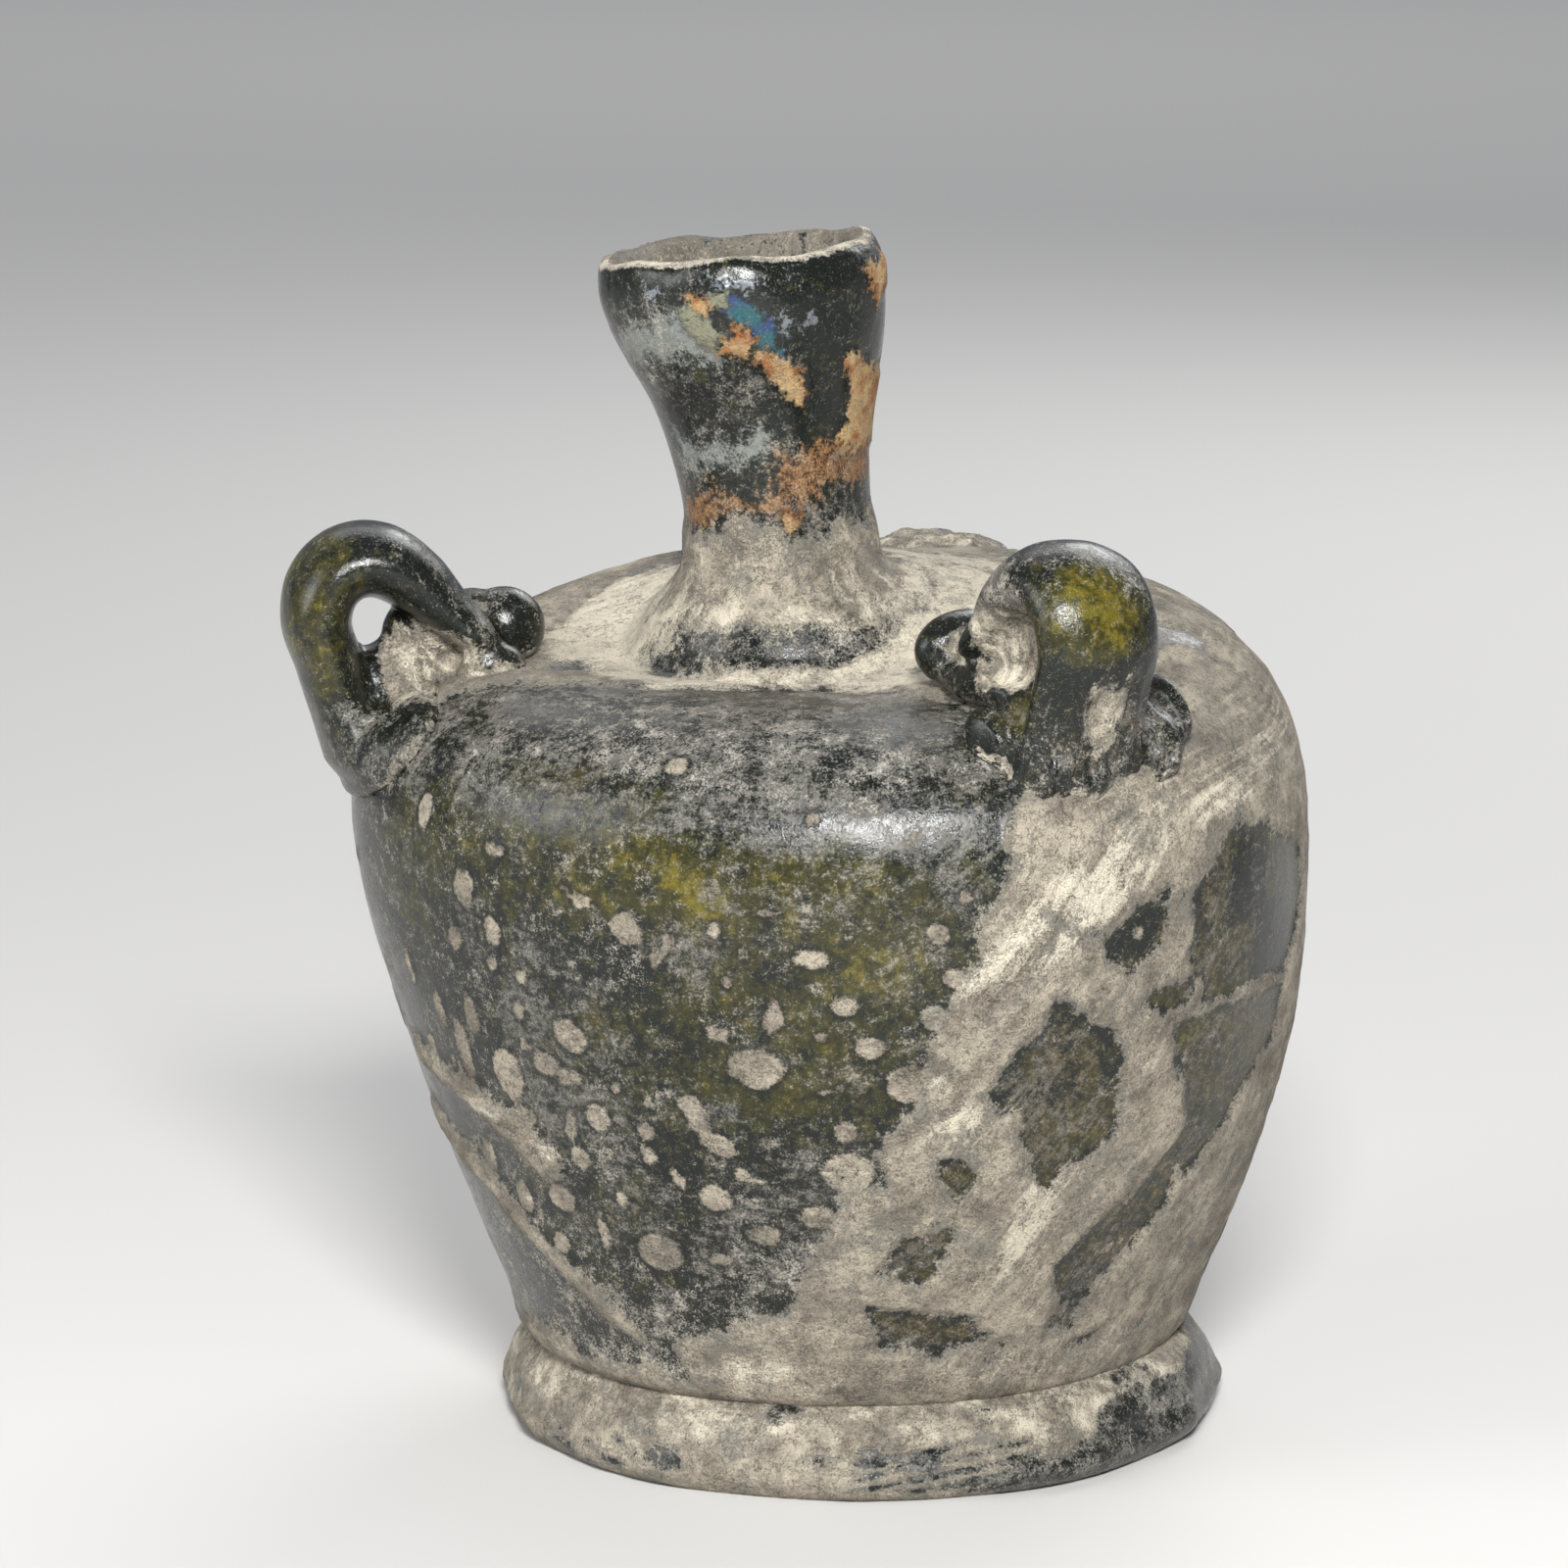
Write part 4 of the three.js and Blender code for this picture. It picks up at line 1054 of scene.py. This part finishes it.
def body_shares(skin, points, on_neck, on_side):
    """How strong film, dust, painted olive light, brown and pale soil are on the body's skin."""
    broad = layered(points, 9, 91)
    mottled = layered(points, 2.6, 93)
    windows = soft(patches(skin, WINDOWS), 1.5) * on_side
    dark = soft(patches(skin, DARK_PARTS), 1.5) * on_side
    clear = soft(patches(skin, NECK_CLEAR, NECK) + 0.3 * mottled, 0.5) * on_neck

    # Olive light through the glass, painted into its colour: in front, on the far sides, and in the crust's
    # windows
    streak = soft(skin.stroke(PAINTED_OLIVE_STREAK, (0.8, 1.8, 1)) + 0.8 * mottled, 1.6)
    painted_front_light = (glows(skin, PAINTED_OLIVE_LIGHT) * (0.75 + 0.6 * mottled) + 0.7 * streak) * on_side
    painted_back_light = 0.4 * smooth(0.1, 0.6, broad) * (np.abs(skin.turn) > 75) * on_side
    olive = union(painted_front_light, painted_back_light, (0.45 + 0.5 * broad) * windows * (1 - dark))
    lit = np.clip(olive, 0, 1)

    film = 0.3 + 0.35 * smooth(47, 52, skin.height) + 0.3 * broad + 0.35 * mottled
    film = np.where(on_neck, 0.5 + 0.3 * broad, film)
    film = union(film + glows(skin, HAZE) * (0.6 + 0.8 * mottled), (0.72 + 0.3 * mottled) * windows)
    film = film * (1 - clear) * (1 - 0.4 * lit) - 0.7 * dark

    low, upward = smooth(24, 12, skin.height), smooth(50.5, 54.5, skin.height)
    dust = 0.36 + 0.3 * low + 0.45 * layered(points, 6, 103) - 0.25 * windows - 0.2 * dark + 0.15 * upward
    dust = np.where(on_neck, 0.4 + 0.35 * broad, dust)
    dust = dust * (1 - 0.75 * clear) - 0.35 * lit * on_side

    collar = smooth(6, 3, np.abs(skin.radius - GROOVE_R - 1))
    return {
        "film": np.clip(film, 0, 1),
        "dust": np.clip(dust, 0, 1),
        "olive": np.clip(olive, 0, 1.3),
        "brown": union(glows(skin, BROWN), 0.75 * windows) * (1 - dark) * on_side,
        "pale": glows(skin, PALE) * on_side + 1.1 * collar * ~on_side + 0.3 * broad,
    }


def body_depths(skin, points, on_neck, on_side):
    """How far each point of the body's skin lies inside the soil, the pits and the neck's layers."""
    mottled = layered(points, 2.6, 93)
    shine = layered(points, 1.1, 97)
    upward = np.where(on_side | on_neck, smooth(50.5, 54.5, skin.height), 1)
    soil = mix(side_crust(skin, points), top_crust(skin, points), upward)

    def layer(marks, ragged=0.35):
        return np.where(on_neck, patches(skin, marks, NECK) + ragged * mottled, -2)

    lip = np.where(on_neck, (skin.height - RIM_TOP_Z + 0.15) * 3, -2)
    depths = {
        "crust": np.where(on_neck, neck_crust(skin, points), soil),
        "blot": np.where(on_side | (skin.radius > 24), blot_field(skin, points), -2),
        "tan": union(layer(NECK_TAN, 0.5), lip + 0.9 * layered(points, 3.5, 105) - 0.5),
        "flake": layer(NECK_FLAKE, 0.4),
        "smear": layer(NECK_SMEAR, 0.9) - 0.3,
        "rust": layer(NECK_RUST, 1) + 0.15,
        "black": layer(NECK_BLACK, 0.9),
        "iris": np.where(on_neck, spots(skin, IRIS, NECK) + 0.2 * mottled, -2),
        # Silvery flecks, partly painted highlights, with fine shine noise
        "silver_and_highlight": np.where(on_neck, spots(skin, SILVER_AND_HIGHLIGHTS, NECK) * 0.6 + 0.6 * shine, -2),
    }
    return {name: np.clip(depths[name], -2, 2) for name in DEPTHS}


def body_relief(skin, points, depths, on_neck):
    """How far the body's skin stands out from the CAD's, as bare glass, soil, flakes or filled pits."""
    raised = smooth(-0.35, 0.5, depths["crust"])
    caked = union(smooth(-0.2, 0.3, depths["tan"]), smooth(-0.2, 0.3, depths["flake"])) * on_neck
    glassy = 0.11 * layered(points, 5, 95) * (1 - raised)
    soiled = raised * (0.07 * layered(points, 1.6, 97) + 0.05 * noise(points * (1, 1, 3), 2.5, 99))
    relief = -SKIN_DEPTH - 0.34 * (1 - union(raised, 0.6 * caked)) + glassy + soiled
    relief = relief + 0.09 * smooth(-0.15, 0.2, depths["blot"]) * (1 - raised)
    rim = smooth(RIM_LOW_Z, RIM_LOW_Z + 2, skin.height)
    return np.minimum(relief + rim * 0.16 * layered(points, 2.4, 101), -0.03)


def body_fields(skin, points):
    """What lies on the body's skin, and how far each point stands in or out."""
    on_neck = (skin.radius < COLLAR_R) & (skin.height > COLLAR_TOP_Z)
    on_side = ~on_neck & (skin.path <= skin.at(53.5)[0])
    depths = body_depths(skin, points, on_neck, on_side)
    shares = body_shares(skin, points, on_neck, on_side)
    return {**depths, **shares}, body_relief(skin, points, depths, on_neck)


# Foot ring

def foot_ring():
    keys = [
        (TREAD_IN_R, 0), (TREAD_OUT_R, 0), (FOOT_R - 0.4, FOOT_EDGE_Z * 0.35), (FOOT_R, FOOT_EDGE_Z),
        (mix(FOOT_R, FOOT_WAIST_R, 0.18), mix(FOOT_EDGE_Z, FOOT_WAIST_Z, 0.28)),
        (mix(FOOT_R, FOOT_WAIST_R, 0.62), mix(FOOT_EDGE_Z, FOOT_WAIST_Z, 0.62)),
        (FOOT_WAIST_R - 0.1, FOOT_WAIST_Z - 0.3), (FOOT_WAIST_R - 1, FOOT_WAIST_Z + 0.4),
        (FOOT_INNER_R, FOOT_WAIST_Z + 1.6), (FOOT_INNER_R, FOOT_WAIST_Z * 0.5),
        (FOOT_INNER_R + 0.5, FOOT_WAIST_Z * 0.2), (TREAD_IN_R, 0),
    ]
    rows = curved(keys, [1.3, 0.5, 0.4, 0.4, 0.4, 0.4, 0.4, 0.6, 2, 2, 1.3])[:-1]
    rows[:, 1] = np.maximum(rows[:, 1], 0)
    columns = np.arange(AROUND) / AROUND * math.tau
    points = foot_point(rows[:, 0][:, None], rows[:, 1][:, None], columns[None, :])
    normals = grid_normals(points, closed_rows=True)
    flat = points.reshape(-1, 3)
    shown = smooth(TREAD_OUT_R, FOOT_R - 0.3, np.repeat(rows[:, 0], AROUND))
    waist = np.exp(-((flat[:, 2] - 4.5) / 0.6) ** 2) * (0.5 + layered(flat, 6, 31))
    relief = -0.42 - 0.34 * layered(flat, 3.4, 21) + 0.4 * waist
    points = flat + normals.reshape(-1, 3) * (relief * shown)[:, None]
    made = mesh_object("foot_ring_glass", points, grid_faces(len(rows), AROUND, True).tolist())
    turn = (np.tile(np.degrees(columns), len(rows)) + 270) % 360 - 180
    height = points[:, 2]
    low_edge = height - 3 * smooth(28, 52, turn) + 1.2 * layered(points, 3, 29)
    dark_edge = smooth(3.2, 1.2, low_edge) * smooth(5, 35, turn) * smooth(172, 130, turn)
    dark_end = 0.9 * smooth(62, 80, turn) * smooth(140, 110, turn) * smooth(5.5, 4, height)
    worn = layered(points * (1, 1, 3), 5, 23, 4)
    brushed = smooth(-6, 0, turn) * smooth(40, 30, turn) * smooth(4.6, 3.8, height) * smooth(0.5, 1, height)
    stripes = np.sin(7 * height - 0.45 * turn + 1.5 * layered(points, 6, 27))
    crust = 0.8 - 2.6 * (dark_edge + dark_end) - 1.2 * smooth(0.15, 0.5, worn)
    crust = crust - brushed * (0.6 + 0.7 * stripes) + 0.5 * layered(points, 1.8, 25)
    zero = np.zeros(len(points))
    fields = {"crust": crust, "film": zero + 0.6, "dust": zero + 0.45, "olive": zero,
              "pale": 0.5 * smooth(3, 4.6, height) + 0.4 * worn}
    paint(made, {name: np.clip(fields.get(name, zero - 2), -2, 2) for name in FIELDS})
    paint_brush(made, turn, np.repeat(path_along(rows), AROUND) + 3 * np.sin(np.radians(turn)), 8)
    made.data.materials.append(bpy.data.materials["weathered glass"])
    settle(made, ["foot_ring"])


# Handles

CREST = (CREST_REACH, CREST_Z)

# Glass that spread round the roots, on the body's skin: turn, height, width, height, thickness, tilt
LEFT_PADS = ((-80, 52.8, 19, 12, 1.6), (-78, 51.6, 14, 7, 2.4))
RIGHT_PADS = (
    (33, 55.4, 13, 8, 1.4), (20.6, 55.2, 3.6, 5, 2.6), (24.5, 55.4, 5, 4.2, 2.0),
    (27.2, 54.6, 2.4, 9.4, 3.0, -24), (31.5, 54.4, 5, 8.6, 2.0, -20), (40, 55.2, 6, 8, 2.2, -12),
    (45.6, 54.5, 3, 11, 2.4, -46),
)
STUB_PADS = ((158, 54.3, 15, 11, 1.4),)

# Lumps of glass and soil: from which reach and height, how far out, aside and up, and the size
LEFT_LUMPS = (
    (LEFT_TAIL, (0.3, -1.6, 1.9), (6.6, 6, 6.4)),
    (LEFT_TAIL, (2.6, -2, 2.2), (6, 5, 5.6)),
    (CREST, (-2, 0, -9.6), (9.5, 7, 8)),
    (CREST, (-3.9, -0.4, -5.9), (7, 5.4, 6.8)),
    (LEFT_TAIL, (1.7, 2.6, -0.3), (5.6, 4.6, 4.2)),
)
RIGHT_LUMPS = (
    (RIGHT_TAIL, (-1.4, -0.4, 1.2), (5, 8.2, 6)),
    (CREST, (-2.6, 0.4, -3.6), (10, 6.4, 10)),
    (CREST, (-0.4, -0.6, -8), (9, 8, 7)),
    (RIGHT_TAIL, (4.4, -2.6, -0.4), (11, 3.6, 3.2)),
)
STUB_LUMPS = (
    ((STUB_REACH, STUB_TOP_Z), (-1, 0.4, -3.4), (11, 10, 5.4)),
    ((STUB_REACH, STUB_ROOT_Z), (4, -0.4, 4.2), (9, 14, 10)),
    ((STUB_REACH, STUB_TOP_Z), (-6, 0.8, -2.6), (8, 8, 4)),
)


def placer(turn):
    """Turns reach, sideways place and height into a point."""
    a = math.radians(turn)

    def place(reach, side, z):
        x = HANDLE_AXIS_X + reach * math.cos(a) - side * math.sin(a)
        return np.stack(np.broadcast_arrays(x, reach * math.sin(a) + side * math.cos(a), z), axis=-1)

    return place


def handle_sides(points, turn):
    """The reach, sideways place and height of points."""
    a = math.radians(turn)
    x = points[:, 0] - HANDLE_AXIS_X
    reach = x * math.cos(a) + points[:, 1] * math.sin(a)
    side = points[:, 1] * math.cos(a) - x * math.sin(a)
    return reach, side, points[:, 2]


def strap(place, keys, sway, tail_side, steps=150, around=48):
    """A flattened trail of glass along key points of reach and height, which strays to one side."""
    dense = curved([(*key, 0) for key in keys], [0.05] * len(keys))
    path = path_along(dense)
    at = np.linspace(0, path[-1], steps)
    reach = np.interp(at, path, dense[:, 0])
    height = np.interp(at, path, dense[:, 1])
    t = at / path[-1]
    dr, dz = np.gradient(reach), np.gradient(height)
    long = np.hypot(dr, dz)
    blunt = np.minimum(1, np.sqrt(np.maximum(0.002, np.sin(t * math.pi)) * 3))
    a = np.arange(around) / around * math.tau
    out = 0.5 * (strap_thickness(t) * blunt)[:, None] * np.cos(a)
    middle = sway * np.sin(t * 2.6) + tail_side * smooth(0.6, 0.95, t)
    side = 0.5 * (strap_width(t) * blunt)[:, None] * np.sin(a) + middle[:, None]
    points = place(reach[:, None] + out * (dz / long)[:, None], side,
                   height[:, None] - out * (dr / long)[:, None])
    return points.reshape(-1, 3), capped_faces(steps, around)


def lump(place, reach, side, z, size, rows=24, around=36):
    """A rounded body of glass or soil."""
    lift = (np.arange(1, rows) / rows - 0.5) * math.pi
    a = np.arange(around) / around * math.tau
    out = np.cos(lift)[:, None]
    points = place(reach + 0.5 * size[0] * out * np.cos(a), side + 0.5 * size[1] * out * np.sin(a),
                   z + 0.5 * size[2] * np.sin(lift)[:, None] + 0 * a)
    return points.reshape(-1, 3), capped_faces(rows - 1, around)


def skin_keys(collar):
    """Key points of the body's side and shoulder, with that many of the collar's."""
    return [*side_points(), *shoulder_points(0, SHOULDER_Z), *list(collar_points())[:collar]]


def pad(turn, height, wide, tall, thick, tilt=0, rows=20, around=64, sink=0.7):
    """A lens of glass on the body's skin, round a turn and a profile height."""
    keys = skin_keys(2)
    dense = curved(keys, [0.2] * len(keys))
    path = path_along(dense)
    middle = np.interp(height, dense[:, 1], path)
    radius = np.interp(height, dense[:, 1], dense[:, 0])
    share = np.arange(1, rows + 1)[:, None] / rows
    a = np.arange(around)[None, :] / around * math.tau
    c, s = math.cos(math.radians(tilt)), math.sin(math.radians(tilt))
    x, y = 0.5 * wide * share * np.cos(a), 0.5 * tall * share * np.sin(a)
    across, up = c * x - s * y, s * x + c * y

    def lifted(depth):
        at = np.clip(middle + up, 0, path[-1])
        angle = math.radians(turn - 90) + across / radius
        r, z, heave = (np.interp(at, path, dense[:, k]) for k in range(3))
        here = body_point(r, z, angle, heave)
        step = np.clip(at + 0.1, 0, path[-1])
        r2, z2, heave2 = (np.interp(step, path, dense[:, k]) for k in range(3))
        ahead = body_point(r2, z2, angle, heave2)
        beside = body_point(r, z, angle + 0.01, heave)
        normal = np.cross(beside - here, ahead - here)
        normal /= np.maximum(np.linalg.norm(normal, axis=-1, keepdims=True), 1e-9)
        return here + normal * depth[..., None]

    top = lifted(thick * np.sqrt(np.maximum(0, 1 - share ** 2.6)) + 0 * a - 0.05)
    under = lifted(-sink + 0 * share + 0 * a)
    ends = np.stack([top[0].mean(axis=0), under[0].mean(axis=0)])
    points = np.concatenate([top.reshape(-1, 3), under.reshape(-1, 3), ends])
    upper = grid_faces(rows, around)[:, ::-1]
    lower = grid_faces(rows, around) + rows * around
    faces = upper.tolist() + lower.tolist()
    crown, floor = 2 * rows * around, 2 * rows * around + 1
    for j in range(around):
        n = (j + 1) % around
        edge = (rows - 1) * around
        faces.append([crown, j, n])
        faces.append([floor, rows * around + n, rows * around + j])
        faces.append([edge + j, edge + rows * around + j, edge + rows * around + n, edge + n])
    return points, faces


def strap_width(t):
    """The width of a handle's strap from its root, t = 0, to its tail, t = 1."""
    return mix(ROOT_WIDE, STRAP_WIDE + 0.8, smooth(0.02, 0.26, t)) - 4 * smooth(0.6, 0.9, t)


def strap_thickness(t):
    loop = STRAP_THICK * (0.95 + 0.1 * smooth(0.3, 0.5, t))
    return mix(loop, TAIL_THICK + 0.9, smooth(0.62, 0.95, t))


def handle_path(lift, tail):
    reach, z = tail
    crest = CREST_Z + lift
    return [
        (ROOT_REACH, ROOT_Z + lift), (ROOT_REACH + 1.6, ROOT_Z + 5 + lift),
        (HANDLE_REACH - 0.9, HANDLE_REACH_Z - 3.1 + lift), (HANDLE_REACH, HANDLE_REACH_Z + lift),
        (HANDLE_REACH - 0.7, crest - 1.6), (CREST_REACH + 2, crest - 0.3), (CREST_REACH, crest),
        (CREST_REACH - 3.1, crest - 1.6), (mix(CREST_REACH, reach, 0.58), mix(crest, z, 0.56)),
        (mix(CREST_REACH, reach, 0.8), mix(crest, z, 0.8)), (reach, z),
    ]


def near(sides, centre, size):
    """Distance into an oval body in a handle's own directions, positive inside."""
    apart = [(value - middle) * 2 / long for value, middle, long in zip(sides, centre, size)]
    return (1 - np.sqrt(sum(a * a for a in apart))) * min(size) / 2


def finish_handle(made, turn, fields_at, node):
    """Roughens a fused handle, paints it and puts it in its node's place."""
    points = points_of(made.data)
    sides = handle_sides(points, turn)
    fields, relief = fields_at(points, sides)
    crust = np.clip(fields["crust"], -2, 2)
    raised = smooth(-0.3, 0.5, crust)
    crumbs = 0.45 * layered(points, 1.6, 113) + 0.2 * noise(points, 0.7, 117) - 0.16 * crevices(points)
    waves = 0.12 * layered(points, 4, 119)
    relief = relief - SKIN_DEPTH - 0.1 + raised * (crumbs - 0.2) + (1 - raised) * waves
    move_points(made.data, points + normals_of(made.data) * relief[:, None])
    paint(made, {name: np.clip(fields.get(name, np.full(len(points), -2.0)), -2, 2) for name in FIELDS})
    reach, side, z = sides
    paint_brush(made, np.degrees(np.arctan2(z - CREST_Z + 6, reach - CREST_REACH + 3)), side * 2, 3)
    made.data.materials.append(bpy.data.materials["weathered glass"])
    settle(made, [node])


def crevices(points):
    """Thin dark gaps between the crumbs of soil, from 0 to 1."""
    return smooth(0.2, 0.05, np.abs(layered(points, 2, 115, 2)))


def handle_fields(points, soil, olive, film, dust):
    """The fields of a handle, from where its soil is and where its clear glass shows light painted as an
    olive glow.
    """
    ragged = layered(points, 2.2, 121)
    return {
        "crust": np.minimum(soil, 0.6) + 0.6 * ragged - 0.55 * crevices(points),
        "olive": np.clip(olive * (1 + 0.5 * ragged), 0, 1.3),
        "film": np.clip(film + 0.3 * layered(points, 4, 123), 0, 1),
        "dust": np.clip(dust + 0.3 * layered(points, 3, 125), 0, 1),
        "pale": 0.5 + 0.5 * ragged,
        "brown": np.clip(0.3 + 0.5 * layered(points, 5, 127), 0, 1),
    }


def left_fields(points, sides):
    reach, side, z = sides
    loop_soil = near(sides, (CREST_REACH - 3.4, 0.5, CREST_Z - 7.8), (9, 13, 6.4))
    lobe_soil = near(sides, (LEFT_TAIL[0] + 3, -2, LEFT_TAIL[1] + 2.6), (4.6, 5.4, 5))
    seam = 0.7 - near_skin(points) * 1.5
    ridge = 0.3 - 0.6 * np.hypot(side + 2.5, z - CREST_Z + 0.2)
    strap_zone = smooth(CREST_REACH - 1, CREST_REACH + 2, reach) * smooth(ROOT_Z + 5, ROOT_Z + 10, z)
    soil = union(loop_soil - 3.5 * strap_zone, lobe_soil, seam, ridge)
    # Painted glow of light coming through the glass of the strap's outer side
    olive = 0.62 * smooth(31.5, 36, reach) * smooth(51, 58, z)
    tail = smooth(31, 26, reach)
    low = smooth(57, 54, z)
    film = -0.1 + 0.25 * tail + 0.6 * low
    dust = 0.05 + 0.3 * tail * smooth(57, 62, z) + 0.3 * low
    return handle_fields(points, soil, olive, film, dust), 0 * reach


def right_fields(points, sides):
    reach, side, z = sides
    loop_soil = near(sides, (CREST_REACH - 3, -2.6, CREST_Z - 2.8), (6.6, 7, 7.6))
    seam = 0.55 - near_skin(points) * 1.5
    gap = near(sides, (RIGHT_TAIL[0] + 1.6, -1, RIGHT_TAIL[1] + 2.4), (2.4, 6, 4.6))
    beige = near(sides, (ROOT_REACH + 2.5, -0.5, 57.8), (12, 3.4, 4.6)) + 0.3
    soil = union(loop_soil, seam, gap, beige)
    # Painted glow of light coming through the strap, on its upper outer face and its left edge
    painted_glow = near(sides, (HANDLE_REACH - 0.6, -1.2, HANDLE_REACH_Z + 4.2), (11, 9.4, 8.8))
    left_painted_glow = near(sides, (HANDLE_REACH - 3.2, -4.6, HANDLE_REACH_Z - 1), (6, 4, 9))
    olive = 1.35 * smooth(-0.8, 2.2, painted_glow) + 0.6 * smooth(-0.3, 0.8, left_painted_glow)
    crest = smooth(CREST_Z - 1.5, CREST_Z + 1.6, z)
    low = smooth(60, 57, z)
    bulb = smooth(-4, -7, side) * low
    film = 0.25 * crest + 0.5 * low - 0.6 * bulb
    cap = near(sides, (CREST_REACH - 1, -4.6, CREST_Z + 1), (7, 3, 5))
    dust = 0.05 + 0.25 * crest + 0.3 * low - 0.5 * bulb + 0.7 * smooth(-0.4, 0.6, cap)
    ribs = smooth(62, 58, z) * smooth(50, 54, z) * smooth(29, 32, reach)
    relief = ribs * 0.22 * (np.sin(side * 2.1 + 0.6) + 0.5 * np.sin(side * 4.7 + 2))
    return handle_fields(points, soil, olive, film, dust), relief - 0.2 * ribs


def stub_fields(points, sides):
    reach, _, z = sides
    broken = 0.4 * layered(points, 2.4, 131) * smooth(STUB_TOP_Z - 3.5, STUB_TOP_Z - 1.5, z)
    zero = 0 * reach
    return handle_fields(points, zero + 0.7, zero, zero + 0.4, zero + 0.6), broken


def near_skin(points):
    """About how far points stand off the body's skin."""
    keys = skin_keys(3)
    rows = curved(keys, [0.8] * len(keys))
    columns = np.arange(180) / 180 * math.tau
    tree = KDTree(len(rows) * len(columns))
    for index, point in enumerate(laid_out(rows, columns).reshape(-1, 3)):
        tree.insert(point, index)
    tree.balance()
    return np.array([tree.find(point)[2] for point in points])


def handle(node, turn, trail, pads, lumps, fields_at):
    """A handle, or the rest of one: its trail of glass, its pads and its lumps, fused and weathered."""
    place = placer(turn)
    parts = [strap(place, *trail)] if trail else []
    parts += [pad(*mark) for mark in pads]
    for (reach, z), (out, side, up), size in lumps:
        parts.append(lump(place, reach + out, side, z + up, size))
    finish_handle(fused(node + "_glass", parts), turn, fields_at, node)


def left_handle():
    trail = (handle_path(0, LEFT_TAIL), 0.4, 1.6)
    handle("handle_left", LEFT_TURN, trail, LEFT_PADS, LEFT_LUMPS, left_fields)


def right_handle():
    trail = (handle_path(RIGHT_LIFT, RIGHT_TAIL), -0.4, -0.6)
    handle("handle_right", RIGHT_TURN, trail, RIGHT_PADS, RIGHT_LUMPS, right_fields)


def back_stub():
    handle("handle_back_stub", BACK_TURN, None, STUB_PADS, STUB_LUMPS, stub_fields)


# Stage, in metres

FLOOR_REACH = 2.5
FLOOR_COLOUR = (0.62, 0.61, 0.59, 1)

# Lights: place, aim, size and power
BOTTLE_MIDDLE = (0, 0, 0.045)
LIGHTS = {
    "front softbox": ((0.02, -0.44, 0.3), BOTTLE_MIDDLE, (0.11, 0.08), 3.9),
    "left softbox": ((-0.55, -0.2, 0.25), BOTTLE_MIDDLE, (0.3, 0.3), 1.6),
    "back light": ((0.25, 0.5, 0.45), BOTTLE_MIDDLE, (0.4, 0.3), 2),
    "backdrop light": ((0, 1.5, 1.3), (0, 1.5, 0), (1.6, 1), 9),
}
SKY_COLOUR, SKY_STRENGTH = (0.86, 0.9, 1, 1), 0.26

# Camera: millimetres from the middle of the foot ring, degrees down, and lens in millimetres
CAMERA_PLACE = (-5.6, -430, 130)
CAMERA_DOWN = 10.93
CAMERA_LENS = 136.1


def stage():
    floor_mesh = bpy.data.meshes.new("floor")
    corners = [(x * FLOOR_REACH, y * FLOOR_REACH, 0) for x, y in ((-1, -1), (1, -1), (1, 1), (-1, 1))]
    floor_mesh.from_pydata(corners, [], [(0, 1, 2, 3)])
    floor = bpy.data.objects.new("floor", floor_mesh)
    bpy.context.scene.collection.objects.link(floor)
    material = bpy.data.materials.new("pale floor")
    material.use_nodes = True
    shader = material.node_tree.nodes["Principled BSDF"]
    shader.inputs["Base Color"].default_value = FLOOR_COLOUR
    shader.inputs["Roughness"].default_value = 0.75
    floor_mesh.materials.append(material)


def lights():
    for name, (place, aim, size, power) in LIGHTS.items():
        data = bpy.data.lights.new(name, "AREA")
        data.shape = "RECTANGLE"
        data.size, data.size_y = size
        data.energy = power
        light = bpy.data.objects.new(name, data)
        light.location = place
        light.rotation_euler = (Vector(aim) - Vector(place)).to_track_quat("-Z", "Y").to_euler()
        bpy.context.scene.collection.objects.link(light)


def sky():
    world = bpy.data.worlds.new("studio")
    world.use_nodes = True
    background = world.node_tree.nodes["Background"]
    background.inputs["Color"].default_value = SKY_COLOUR
    background.inputs["Strength"].default_value = SKY_STRENGTH
    bpy.context.scene.world = world
    bpy.context.scene.view_settings.view_transform = "Standard"


def camera():
    data = bpy.data.cameras.new("camera")
    data.sensor_width = 36
    data.lens = CAMERA_LENS
    made = bpy.data.objects.new("camera", data)
    made.location = Vector(CAMERA_PLACE) * MM + Vector(ORIGIN) * MM
    made.rotation_euler = (math.radians(90 - CAMERA_DOWN), 0, 0)
    bpy.context.scene.collection.objects.link(made)
    bpy.context.scene.camera = made


camera()
lights()
sky()
stage()
vessel()
foot_ring()
left_handle()
right_handle()
back_stub()
